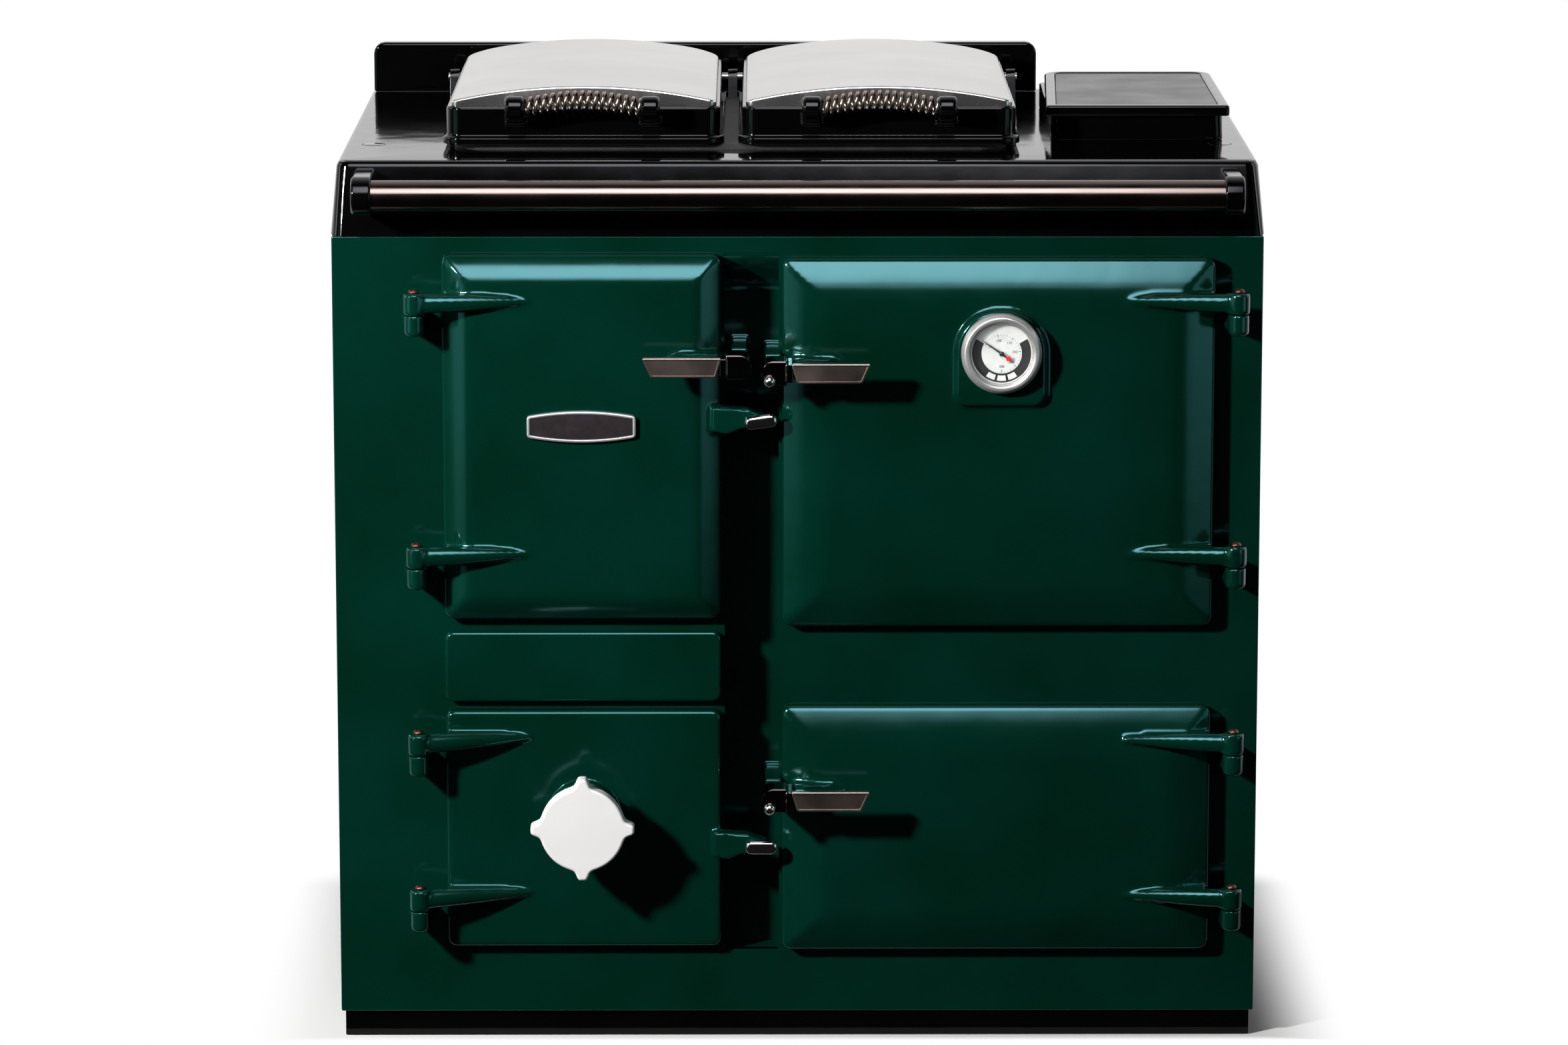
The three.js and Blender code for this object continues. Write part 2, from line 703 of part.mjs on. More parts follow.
const lidRod = rod(
  [rodPosts[0] - postHalf - 2, lidAxisY, lidAxisZ],
  [rodPosts[2] + postHalf + 2, lidAxisY, lidAxisZ],
  LID_ROD_RADIUS,
  16,
);
piece('lid_hinge_rod', lidRod, brushedSteel);

for (const [name, side] of [['plug_cap_left', -1], ['plug_cap_right', 1]]) {
  const x = side * (halfBody - CAP_FROM_SIDE);
  const cap = rod(
    [x, CAP_FROM_FRONT, topOfCooker - CAP_BURIED + SEAT],
    [x, CAP_FROM_FRONT, topOfCooker + SEAT],
    CAP_RADIUS,
  );
  piece(name, cap, blackEnamel);
}

function upstand() {
  const back = BODY_DEPTH - UPSTAND_BACK;
  const front = back - UPSTAND_THICK;
  const bottom = topOfCooker + SEAT;
  const top = topOfCooker + UPSTAND_HEIGHT;
  const left = -halfBody + UPSTAND_FROM_LEFT;
  const right = flueLeft + UPSTAND_PAST_FLUE;
  const outline = (by) =>
    roundRect(left + by, right - by, bottom, top - by, [2, 12 - by, 12 - by, 2], 4);
  return loft([
    inFront(outline(2), front),
    inFront(outline(0), front + 2),
    inFront(outline(0), back),
  ]);
}
piece('upstand', upstand(), blackEnamel);

// ---------- towel rail ----------
const railEnd = halfBody - RAIL_FROM_SIDE;

function railBracket(side) {
  const inner = side * (railEnd - RAIL_SOCKET);
  const outer = side * (railEnd - RAIL_SOCKET + RAIL_BRACKET_WIDTH);
  const low = railZ - RAIL_BRACKET_HEIGHT / 2;
  const high = railZ + RAIL_BRACKET_HEIGHT / 2;
  const noseRadius = RAIL_BRACKET_HEIGHT / 2;
  const outline = [
    ...arc(-RAIL_STAND_OFF, railZ, noseRadius, 90, 270, 10),
    new THREE.Vector2(topFrontAt(low) - SEAT, low),
    new THREE.Vector2(topFrontAt(high) - SEAT, high),
  ];
  const body = sidePrism(outline, Math.min(inner, outer), Math.max(inner, outer));
  const socket = rod(
    [inner - side, -RAIL_STAND_OFF, railZ],
    [side * (railEnd + SEAT), -RAIL_STAND_OFF, railZ],
    RAIL_RADIUS + SEAT,
    32,
  );
  return body.subtract(socket);
}
piece('rail_bracket_left', railBracket(-1), blackEnamel);
piece('rail_bracket_right', railBracket(1), blackEnamel);

const railTube = rod(
  [-railEnd, -RAIL_STAND_OFF, railZ],
  [railEnd, -RAIL_STAND_OFF, railZ],
  RAIL_RADIUS,
  32,
);
const railBore = rod(
  [-railEnd - 1, -RAIL_STAND_OFF, railZ],
  [railEnd + 1, -RAIL_STAND_OFF, railZ],
  RAIL_RADIUS - RAIL_WALL,
  32,
);
piece('handrail', railTube.subtract(railBore), chrome);

// ---------- hotplate and flue box ----------
function hotplate() {
  const outline = (by) =>
    roundRect(
      hotplateFrame.left + by,
      hotplateFrame.right - by,
      hotplateFrame.front + by,
      hotplateFrame.back - by,
      HOTPLATE_CORNER,
    );
  return loft([
    atHeight(outline(0), hotplateTop - HOTPLATE_THICK),
    atHeight(outline(0), hotplateTop - 1.5),
    atHeight(outline(1.5), hotplateTop),
  ]);
}
piece('hotplate', hotplate(), castIron);

function flueBox() {
  const bottom = topOfCooker + SEAT;
  const top = topOfCooker + FLUE_HEIGHT;
  const outline = roundRect(flueLeft, flueRight, FLUE_FRONT, flueBack, 10);
  const inside = roundRect(
    flueLeft + FLUE_WALL,
    flueRight - FLUE_WALL,
    FLUE_FRONT + FLUE_WALL,
    flueBack - FLUE_WALL,
    6,
  );
  const shell = planPrism(outline, bottom, top);
  return shell.subtract(planPrism(inside, bottom - 1, top + 1));
}
piece('flue_box', flueBox(), blackEnamel);

const coverBottom = topOfCooker + FLUE_HEIGHT + SEAT;
const coverTop = coverBottom + FLUE_COVER_THICK;

// The cover's plan: its left side draws in towards the back, and its back corners are round.
function coverPlan(by) {
  const left = flueLeft - FLUE_COVER_LAP + by;
  const right = flueRight + FLUE_COVER_LAP - by;
  const front = FLUE_FRONT - FLUE_COVER_LAP - FLUE_COVER_NOSE + by;
  const back = flueBack + FLUE_COVER_LAP - by;
  const round = Math.max(FLUE_COVER_CORNER - by, 3);
  const plan = roundRect(left, right, front, back, [4, round, round, 4], 4);
  const depth = back - front;
  return plan.map((p) => {
    const share = (p.y - front) / depth;
    const fromRight = (right - p.x) / (right - left);
    return new THREE.Vector2(p.x + FLUE_COVER_TAPER * share * fromRight, p.y);
  });
}

function flueCover() {
  const outside = loft([
    atHeight(coverPlan(0), coverBottom),
    atHeight(coverPlan(0), coverTop - 3),
    atHeight(coverPlan(1), coverTop - 1),
    atHeight(coverPlan(3), coverTop),
  ]);
  const bed = coverTop - FLUE_PANEL_SUNK;
  const recess = planPrism(coverPlan(FLUE_COVER_RIM), bed, coverTop + 1);
  return outside.subtract(recess);
}
piece('flue_cover', flueCover(), blackEnamel);

const panelBottom = coverTop - FLUE_PANEL_SUNK + SEAT;
const fluePanel = planPrism(coverPlan(FLUE_COVER_RIM + SEAT), panelBottom, coverTop - 1);
piece('flue_cover_panel', fluePanel, blackEnamel);

// ---------- firebox, ashpit and ovens ----------
const insideFront = FRONT_THICK + SEAT;
const fireboxIn = {
  left: openings.fire.left - FIREBOX_WALL,
  right: openings.fire.right + FIREBOX_WALL,
  floor: openings.ashpit.bottom - 2,
  back: insideFront + FIREBOX_DEPTH - FIREBOX_WALL,
};
const ledgeTop = (openings.fire.bottom + grateWindow.top) / 2;
const ledgeWidth = BRICK_THICK + GRATE_REST;

function firebox() {
  const f = fireboxIn;
  const w = FIREBOX_WALL;
  const outside = block(f.left - w, f.right + w, insideFront, f.back + w, f.floor - w, sideTop);
  const inside = block(f.left, f.right, insideFront - 1, f.back, f.floor, sideTop + 1);
  const shelf = block(
    f.left - SINK,
    f.right + SINK,
    insideFront,
    f.back + SINK,
    ledgeTop - w,
    ledgeTop,
  );
  const throat = block(
    f.left + ledgeWidth,
    f.right - ledgeWidth,
    insideFront - 1,
    f.back - ledgeWidth,
    ledgeTop - w - 1,
    ledgeTop + 1,
  );
  return outside.subtract(inside).add(shelf.subtract(throat));
}
piece('firebox', firebox(), castIron);

const brickBottom = ledgeTop + SEAT;
const brickTop = openings.fire.top - BRICK_THICK;
const sideBrickBack = fireboxIn.back - BRICK_THICK - 2 * SEAT;
const brickFront = LINER_DEPTH + GRATE_REST;
for (const [name, side] of [['fire_brick_left', 1], ['fire_brick_right', -1]]) {
  const wall = side > 0 ? fireboxIn.left + SEAT : fireboxIn.right - SEAT;
  const face = wall + side * BRICK_THICK;
  const brick = block(
    Math.min(wall, face),
    Math.max(wall, face),
    brickFront,
    sideBrickBack,
    brickBottom,
    brickTop,
  );
  piece(name, brick, fireBrick);
}
const backBrick = block(
  fireboxIn.left + SEAT,
  fireboxIn.right - SEAT,
  fireboxIn.back - SEAT - BRICK_THICK,
  fireboxIn.back - SEAT,
  brickBottom,
  brickTop,
);
piece('fire_brick_back', backBrick, fireBrick);

function bottomGrate() {
  const left = fireboxIn.left + BRICK_THICK + 2 * SEAT + RUNNING;
  const right = fireboxIn.right - BRICK_THICK - 2 * SEAT - RUNNING;
  const front = brickFront + GRATE_TRAVEL;
  const back = fireboxIn.back - BRICK_THICK - 2 * SEAT - RUNNING;
  const bottom = ledgeTop + SEAT;
  const plate = block(left, right, front, back, bottom, bottom + GRATE_THICK);
  const border = GRATE_REST + 4;
  const pitch = (right - left - 2 * border) / GRATE_BARS;
  const slots = Array.from({ length: GRATE_BARS }, (_, i) => {
    const x = left + border + i * pitch;
    const slot = roundRect(x + pitch * 0.25, x + pitch * 0.75, front + border, back - border, 4);
    return planPrism(slot, bottom - 1, bottom + GRATE_THICK + 1);
  });
  return cut(plate, ...slots);
}
piece('bottom_grate', bottomGrate(), castIron);

function ashpan() {
  const left = openings.ashpit.left + PAN_CLEAR;
  const right = openings.ashpit.right - PAN_CLEAR;
  const front = insideFront + PAN_CLEAR;
  const bottom = fireboxIn.floor + SEAT;
  const top = bottom + PAN_HEIGHT;
  const outline = (by) => roundRect(left + by, right - by, front + by, front + PAN_LENGTH - by, 8);
  const outside = loft([atHeight(outline(6), bottom), atHeight(outline(0), top)]);
  const inside = loft([
    atHeight(outline(6 + PAN_WALL), bottom + PAN_WALL),
    atHeight(outline(PAN_WALL), top + 0.5),
  ]);
  return outside.subtract(inside);
}
piece('ashpan', ashpan(), zincSteel);

// Heights of the shelf runners, shared by an oven and its shelf.
function runnerHeights(opening, count) {
  const step = (opening.top - opening.bottom) / (count + 1);
  return Array.from({ length: count }, (_, i) => opening.bottom + step * (i + 1));
}
const mainRunners = runnerHeights(openings.main, 3);
const lowerRunners = runnerHeights(openings.lower, 1);

function ovenBox(opening, runners) {
  const inner = inset(opening, -OVEN_MARGIN);
  const outer = inset(opening, -OVEN_MARGIN - OVEN_WALL);
  const back = insideFront + OVEN_DEPTH;
  const outside = block(outer.left, outer.right, insideFront, back, outer.bottom, outer.top);
  const inside = block(
    inner.left,
    inner.right,
    insideFront - 1,
    back - OVEN_WALL,
    inner.bottom,
    inner.top,
  );
  const rails = runners.flatMap((z) =>
    [
      [inner.left - SINK, inner.left + SHELF_RUNNER],
      [inner.right - SHELF_RUNNER, inner.right + SINK],
    ].map(([x0, x1]) =>
      block(x0, x1, insideFront + 20, back - OVEN_WALL - 20, z - SHELF_RUNNER, z),
    ),
  );
  return joined(outside.subtract(inside), ...rails);
}
piece('main_oven', ovenBox(openings.main, mainRunners), castIron);
piece('lower_oven', ovenBox(openings.lower, lowerRunners), castIron);

// A wire shelf: a frame of round bar with cross bars, lying on a pair of runners.
function wireShelf(opening, runnerTop) {
  const inner = inset(opening, -OVEN_MARGIN);
  const r = SHELF_WIRE;
  const z = runnerTop + SEAT + r;
  const left = inner.left + 2 + r;
  const right = inner.right - 2 - r;
  const front = insideFront + 26;
  const back = insideFront + OVEN_DEPTH - OVEN_WALL - 10;
  const sides = [left, right].map((x) => rod([x, front, z], [x, back, z], r, 8));
  const ends = [front, back].map((y) => rod([left - r, y, z], [right + r, y, z], r, 8));
  const pitch = (right - left) / (SHELF_BARS + 1);
  const bars = Array.from({ length: SHELF_BARS }, (_, i) => {
    const x = left + pitch * (i + 1);
    return rod([x, front, z], [x, back, z], r * 0.8, 6);
  });
  return joined(...sides, ...ends, ...bars);
}
piece('main_oven_shelf', wireShelf(openings.main, mainRunners[1]), chrome);
piece('lower_oven_shelf', wireShelf(openings.lower, lowerRunners[0]), chrome);

// ---------- doors ----------
// Outline of a raised door at each step of its rounded slope, from the rim to the field.
function raisedDoor(frame, bevel) {
  const ring = (by, out) => {
    const f = inset(frame, by);
    const corner = Math.max(DOOR_CORNER - by * 0.6, 2);
    return inFront(roundRect(f.left, f.right, f.bottom, f.top, corner, 2), doorBack - out);
  };
  const slope = [0.02, 0.12, 0.3, 0.5, 0.75, 1].map((share) => {
    const rise = DOOR_RISE * Math.sin((share * Math.PI) / 2);
    return ring(1.5 + bevel * share, DOOR_RIM + rise);
  });
  return loft([ring(0.8, 0), ring(0, 0.8), ring(0, DOOR_RIM - 1.5), ...slope]);
}

function flatDoor(frame, thick) {
  const ring = (by, out) => {
    const f = inset(frame, by);
    const corner = Math.max(DOOR_CORNER - by, 2);
    return inFront(roundRect(f.left, f.right, f.bottom, f.top, corner, 3), doorBack - out);
  };
  const round = FLAT_EDGE_ROUND;
  const edge = [0, 30, 60, 90].map((angle) => {
    const turn = THREE.MathUtils.degToRad(angle);
    return ring(round * (1 - Math.cos(turn)), thick - round + round * Math.sin(turn));
  });
  return loft([ring(0.8, 0), ring(0, 0.8), ...edge]);
}

function linerBlock(opening, by, y0, y1) {
  const f = inset(opening, by);
  return frontPrism(roundRect(f.left, f.right, f.bottom, f.top, 6, 2), y0, y1);
}

const doorPocket = (opening) =>
  linerBlock(opening, LINER_CLEAR - SEAT, doorBack - DOOR_POCKET, 1);
const doorLiner = (opening) =>
  linerBlock(opening, LINER_CLEAR, doorBack - DOOR_POCKET + SEAT, LINER_DEPTH);

// A door's side of one hinge: the knuckle, and the arm that tapers away over the door's face.
function hingeArm(axisX, doorEdge, middleZ, faceOut, side) {
  const tip = doorEdge + side * ARM_REACH;
  const sections = 6;
  const rings = Array.from({ length: sections }, (_, i) => {
    const share = i / (sections - 1);
    const x = axisX + (tip - axisX) * share;
    const y = THREE.MathUtils.lerp(-HINGE_STAND_OFF, -faceOut + 1, share);
    const high = THREE.MathUtils.lerp(ARM_RADIUS, ARM_TIP_RADIUS, share ** 2);
    const deep = THREE.MathUtils.lerp(ARM_RADIUS - 1, ARM_TIP_RADIUS - 0.5, share ** 2);
    return circle(1, ARM_SIDES).map(
      (p) => new THREE.Vector3(x, y + deep * p.x, middleZ + high * p.y),
    );
  });
  const web = planPrism(
    [
      new THREE.Vector2(doorEdge + side * 3, -4),
      new THREE.Vector2(doorEdge + side * 3, -HINGE_STAND_OFF + 6),
      new THREE.Vector2(tip - side * 20, -faceOut),
      new THREE.Vector2(tip - side * 20, -4),
    ],
    middleZ - ARM_RADIUS * 0.6,
    middleZ + ARM_RADIUS * 0.6,
  );
  const low = middleZ - DOOR_KNUCKLE_DOWN;
  const high = middleZ + DOOR_KNUCKLE_UP;
  const knuckle = rod(
    [axisX, -HINGE_STAND_OFF, low],
    [axisX, -HINGE_STAND_OFF, high],
    KNUCKLE_RADIUS + 1,
    16,
  );
  return joined(loft(rings), web, knuckle);
}

function hingeBore(axisX, middleZ) {
  return rod(
    [axisX, -HINGE_STAND_OFF, middleZ - DOOR_KNUCKLE_DOWN - 1],
    [axisX, -HINGE_STAND_OFF, middleZ + DOOR_KNUCKLE_UP + 1],
    PIN_RADIUS + PIN_CLEAR,
    12,
  );
}

function withHinges(door, axisX, doorEdge, heights, faceOut, side) {
  const arms = heights.map((z) => hingeArm(axisX, doorEdge, z, faceOut, side));
  return joined(door, ...arms).subtract(joined(...heights.map((z) => hingeBore(axisX, z))));
}

// The sleeve on a door that a lever handle's shaft turns in. It fades into the door's face.
function handleSleeve(startX, z, faceOut, side) {
  const sections = 5;
  const rings = Array.from({ length: sections }, (_, i) => {
    const share = Math.max(0, (i - 1) / (sections - 2));
    const x = startX + (side * SLEEVE_LENGTH * i) / (sections - 1);
    const radius = THREE.MathUtils.lerp(SLEEVE_RADIUS, 4, share);
    const y = THREE.MathUtils.lerp(-SHAFT_OUT, -faceOut + 2, share);
    return circle(radius, ARM_SIDES).map((p) => new THREE.Vector3(x, y + p.x, z + p.y));
  });
  const root = planPrism(
    [
      new THREE.Vector2(startX, -8),
      new THREE.Vector2(startX, -SHAFT_OUT),
      new THREE.Vector2(startX + side * SLEEVE_LENGTH * 0.4, -SHAFT_OUT),
      new THREE.Vector2(startX + side * SLEEVE_LENGTH * 0.85, -faceOut),
      new THREE.Vector2(startX + side * SLEEVE_LENGTH * 0.85, -8),
    ],
    z - SLEEVE_RADIUS * 0.7,
    z + SLEEVE_RADIUS * 0.7,
  );
  return loft(rings).add(root);
}

function sleeveBore(startX, z, side) {
  return rod(
    [startX - side, -SHAFT_OUT, z],
    [startX + side * (SHAFT_LENGTH + 1), -SHAFT_OUT, z],
    SHAFT_RADIUS + PIN_CLEAR,
    14,
  );
}

// A lever handle, drawn from the inner end of its blade; side is +1 when the blade points right.
function leverHandle(bladeX, z, side) {
  const at = (t) => bladeX + side * t;
  const half = BLADE_HEIGHT / 2;
  const trapezoid = [
    new THREE.Vector2(at(3), z - half),
    new THREE.Vector2(at(BLADE_LENGTH - BLADE_TAPER), z - half),
    new THREE.Vector2(at(BLADE_LENGTH), z + half),
    new THREE.Vector2(at(0), z + half),
  ];
  const bladeAt = (scale, y) => {
    const middle = new THREE.Vector2(at(BLADE_LENGTH / 2), z);
    return inFront(
      trapezoid.map((p) => p.clone().sub(middle).multiplyScalar(scale).add(middle)),
      y,
    );
  };
  const blade = loft([
    bladeAt(0.96, -BLADE_OUT + BLADE_THICK),
    bladeAt(1, -BLADE_OUT + BLADE_THICK - 1.5),
    bladeAt(1, -BLADE_OUT + 1.5),
    bladeAt(0.96, -BLADE_OUT),
  ]);
  const span = (t0, t1) => [Math.min(at(t0), at(t1)), Math.max(at(t0), at(t1))];
  const cheekOutline = [
    ...arc(-SHAFT_OUT, z, SLEEVE_RADIUS, -90, 90, 8),
    new THREE.Vector2(-BLADE_OUT + 2, z + half),
    new THREE.Vector2(-BLADE_OUT, z + half - 2),
    new THREE.Vector2(-BLADE_OUT, z - half + 2),
    new THREE.Vector2(-BLADE_OUT + 2, z - half),
  ];
  const cheek = sidePrism(cheekOutline, ...span(-CHEEK_THICK, 0));
  // the blade's inner end is drawn back into the cheek
  const joint = block(
    ...span(-CHEEK_THICK / 2, 4),
    -BLADE_OUT + 2,
    -BLADE_OUT + BLADE_THICK - 2,
    z - half + 2,
    z + half - 2,
  );
  const shaft = rod(
    [at(-CHEEK_THICK / 2), -SHAFT_OUT, z],
    [at(SHAFT_LENGTH), -SHAFT_OUT, z],
    SHAFT_RADIUS,
    14,
  );
  const noseEnd = -CHEEK_THICK - NOSE_LENGTH;
  const noseSide = sidePrism(
    [
      ...arc(-SHAFT_OUT, z, NOSE_RADIUS, -30, 90, 8),
      ...arc(-BLADE_OUT + 18, z + NOSE_RADIUS - 6, 6, 90, 180, 3),
      new THREE.Vector2(-BLADE_OUT + 12, z - NOSE_RADIUS / 2),
    ],
    ...span(noseEnd, -CHEEK_THICK + 1),
  );
  const [noseLow, noseHigh] = span(noseEnd, -CHEEK_THICK + 1);
  const crown = NOSE_RADIUS + 1;
  const corners = side > 0 ? [1, 1, crown, 4] : [4, crown, 1, 1];
  const noseFront = frontPrism(
    roundRect(noseLow, noseHigh, z - NOSE_RADIUS / 2, z + NOSE_RADIUS, corners, 6),
    -BLADE_OUT,
    0,
  );
  const nose = noseSide.intersect(noseFront);
  const tongueHalf = TONGUE_THICK / 2;
  const tongue = block(
    ...span(noseEnd + 6, -CHEEK_THICK - 5),
    -SHAFT_OUT + NOSE_RADIUS / 2 - 8,
    -TONGUE_OUT,
    z - tongueHalf,
    z + tongueHalf,
  );
  const ballX = at(noseEnd + BALL_RADIUS + 1);
  const catchBall = ball(ballX, -BLADE_OUT + BALL_BEHIND, z - BALL_RADIUS, BALL_RADIUS);
  return joined(blade, cheek, joint, shaft, nose, tongue, catchBall);
}

// The lug on a left door's edge and the turn-button that swings on it.
function buttonLug(doorEdge, z) {
  const pivot = doorEdge + BUTTON_FROM_EDGE;
  const out = BUTTON_OUT - BUTTON_THICK - SEAT;
  const rise = BUTTON_LUG_HEIGHT / 2;
  const outline = [
    new THREE.Vector2(doorEdge - BUTTON_LUG_ROOT, z - rise * 0.8),
    new THREE.Vector2(doorEdge + BUTTON_LUG_WAIST / 3, z - rise),
    new THREE.Vector2(doorEdge + BUTTON_LUG_WAIST, z - rise * 0.6),
    ...arc(pivot, z, BUTTON_STEM * 1.75, -70, 90, 6),
    new THREE.Vector2(doorEdge + BUTTON_LUG_WAIST * 1.35, z + rise * 0.85),
    new THREE.Vector2(doorEdge - BUTTON_LUG_ROOT, z + rise),
  ];
  const lug = frontPrism(outline, -out, -6);
  const bore = rod([pivot, -out - 1, z], [pivot, -10, z], BUTTON_STEM + PIN_CLEAR, 16);
  return { lug, bore };
}

function turnButton(doorEdge, z, tilt) {
  const pivot = doorEdge + BUTTON_FROM_EDGE;
  const outline = (by) => {
    const half = BUTTON_LENGTH / 2 - by;
    const high = BUTTON_HEIGHT / 2 - by;
    const flat = roundRect(-half, half, -high, high, high - 0.2, 5);
    const centre = new THREE.Vector2();
    const turn = THREE.MathUtils.degToRad(tilt);
    return flat.map((p) => p.rotateAround(centre, turn).add(new THREE.Vector2(pivot, z)));
  };
  const back = -BUTTON_OUT + BUTTON_THICK;
  const knob = loft([
    inFront(outline(0.8), back),
    inFront(outline(0), back - 1),
    inFront(outline(0), -BUTTON_OUT + 2.5),
    inFront(outline(0.9), -BUTTON_OUT + 0.8),
    inFront(outline(2.5), -BUTTON_OUT),
  ]);
  const stem = rod([pivot, back - 2, z], [pivot, -11, z], BUTTON_STEM, 16);
  return knob.add(stem);
}

const raisedFace = DOOR_RIM + DOOR_RISE; // how far out a raised door's field stands
const fireBladeX = leftDoorRight - FIRE_HANDLE_INSET;
const ovenBladeX = rightDoorLeft + OVEN_HANDLE_INSET;

function fireDoorCasting() {
  const panel = raisedDoor(fireDoor, FIRE_BEVEL);
  const { lug, bore } = buttonLug(leftDoorRight, fireButtonZ);
  const sleeve = handleSleeve(fireBladeX - SEAT, fireHandleZ, raisedFace, -1);
  const hung = withHinges(panel, leftAxisX, leftDoorLeft, upperHinges, raisedFace, 1);
  return cut(
    joined(hung, lug, sleeve),
    bore,
    doorPocket(openings.fire),
    sleeveBore(fireBladeX - SEAT, fireHandleZ, -1),
  );
}
piece('fire_door', fireDoorCasting(), greenEnamel);
piece('fire_door_baffle', doorLiner(openings.fire), castIron);
piece('fire_door_handle', leverHandle(fireBladeX, fireHandleZ, -1), chrome);
piece('fire_door_catch', turnButton(leftDoorRight, fireButtonZ, FIRE_BUTTON_TILT), chrome);

function ovenDoorCasting(frame, opening, hinges, handleZ) {
  const panel = raisedDoor(frame, OVEN_BEVEL);
  const sleeve = handleSleeve(ovenBladeX + SEAT, handleZ, raisedFace, 1);
  const hung = withHinges(panel, rightAxisX, rightDoorRight, hinges, raisedFace, -1);
  return cut(
    joined(hung, sleeve),
    doorPocket(opening),
    sleeveBore(ovenBladeX + SEAT, handleZ, 1),
  );
}

const gaugeX = rightDoorRight - GAUGE_FROM_HINGE_EDGE;
const gaugeBossOut = raisedFace + GAUGE_BOSS_RISE;

function gaugeBoss() {
  const half = GAUGE_BOSS_WIDTH / 2;
  const outline = (by) =>
    roundRect(
      gaugeX - half + by,
      gaugeX + half - by,
      gaugeZ - GAUGE_BOSS_DROP + by,
      gaugeZ + half - by,
      [12, half - by, half - by, 12],
      7,
    );
  return loft([
    inFront(outline(-3), -raisedFace + 2),
    inFront(outline(-1), -raisedFace - 1),
    inFront(outline(0), -gaugeBossOut + 2),
    inFront(outline(1.5), -gaugeBossOut),
  ]);
}

const mainCasting = ovenDoorCasting(mainDoor, openings.main, upperHinges, mainHandleZ);
piece('main_oven_door', mainCasting.add(gaugeBoss()), greenEnamel);
piece('main_oven_door_liner', doorLiner(openings.main), brushedSteel);
piece('main_oven_handle', leverHandle(ovenBladeX, mainHandleZ, 1), chrome);

const lowerCasting = ovenDoorCasting(lowerDoor, openings.lower, lowerHinges, lowerHandleZ);
piece('lower_oven_door', lowerCasting, greenEnamel);
piece('lower_oven_door_liner', doorLiner(openings.lower), brushedSteel);
piece('lower_oven_handle', leverHandle(ovenBladeX, lowerHandleZ, 1), chrome);

// The plate over the grate's opening hangs there by a spigot that fills the opening.
function gratePanelCasting() {
  const spigot = inset(grateWindow, LINER_CLEAR / 2);
  const plug = block(
    spigot.left,
    spigot.right,
    doorBack - SINK,
    FRONT_THICK - SEAT,
    spigot.bottom,
    spigot.top,
  );
  return flatDoor(gratePanel, GRATE_PANEL_THICK).add(plug);
}
piece('grate_panel', gratePanelCasting(), greenEnamel);

function hingePin(axisX, middleZ) {
  const head = middleZ + DOOR_KNUCKLE_UP + SEAT;
  const bottom = middleZ - DOOR_KNUCKLE_DOWN - RUNNING / 2 - FIXED_KNUCKLE_HEIGHT;
  const shank = rod(
    [axisX, -HINGE_STAND_OFF, bottom],
    [axisX, -HINGE_STAND_OFF, head + 1],
    PIN_RADIUS,
    12,
  );
  const cap = rod(
    [axisX, -HINGE_STAND_OFF, head],
    [axisX, -HINGE_STAND_OFF, head + PIN_HEAD_HEIGHT],
    PIN_HEAD_RADIUS,
    12,
    PIN_HEAD_RADIUS - 1.5,
  );
  return shank.add(cap);
}

const hingeSets = [
  ['fire', leftAxisX, upperHinges],
  ['ashpit', leftAxisX, lowerHinges],
  ['main_oven', rightAxisX, upperHinges],
  ['lower_oven', rightAxisX, lowerHinges],
];
for (const [door, axisX, [low, high]] of hingeSets) {
  piece(`${door}_hinge_pin_lower`, hingePin(axisX, low), copper);
  piece(`${door}_hinge_pin_upper`, hingePin(axisX, high), copper);
}

// ---------- ashpit door and its spin wheel ----------
const wheelX = (ashpitDoor.left + ashpitDoor.right) / 2;
const wheelBack = WHEEL_OUT - WHEEL_THICK;
const collarBore = COLLAR_RADIUS - COLLAR_WALL;
const spiderOut = FLAT_DOOR_THICK + SPIDER_THICK;

function ashpitDoorCasting() {
  const panel = flatDoor(ashpitDoor, FLAT_DOOR_THICK);
  const hung = withHinges(
    panel,
    leftAxisX,
    leftDoorLeft,
    lowerHinges,
    FLAT_DOOR_THICK,
    1,
  );
  const onAxis = (y0, y1, radius, sides) =>
    rod([wheelX, y0, wheelZ], [wheelX, y1, wheelZ], radius, sides);
  const collar = onAxis(-FLAT_DOOR_THICK + 3, -COLLAR_OUT, COLLAR_RADIUS, 28);
  const airway = onAxis(2, -COLLAR_OUT - 1, collarBore, 28);
  const hub = onAxis(-FLAT_DOOR_THICK, -spiderOut, SPIDER_HUB, 16);
  const arms = Array.from({ length: SPIDER_ARMS }, (_, i) => {
    const turn = (2 * Math.PI * i) / SPIDER_ARMS + Math.PI / 2;
    const along = new THREE.Vector2(Math.cos(turn), Math.sin(turn));
    const across = new THREE.Vector2(-along.y, along.x).multiplyScalar(SPIDER_THICK / 2);
    const centre = new THREE.Vector2(wheelX, wheelZ);
    const end = centre.clone().addScaledVector(along, collarBore + COLLAR_WALL / 2);
    const outline = [
      centre.clone().sub(across),
      end.clone().sub(across),
      end.clone().add(across),
      centre.clone().add(across),
    ];
    return frontPrism(outline, -spiderOut, -FLAT_DOOR_THICK);
  });
  const { lug, bore } = buttonLug(leftDoorRight, ashpitButtonZ);
  const shell = joined(hung, collar, lug).subtract(airway);
  const spindleBore = onAxis(1, -spiderOut - 1, SPINDLE_RADIUS + PIN_CLEAR, 16);
  return cut(joined(shell, hub, ...arms), spindleBore, bore);
}
piece('ashpit_door', ashpitDoorCasting(), greenEnamel);
piece('ashpit_door_catch', turnButton(leftDoorRight, ashpitButtonZ, 0), chrome);

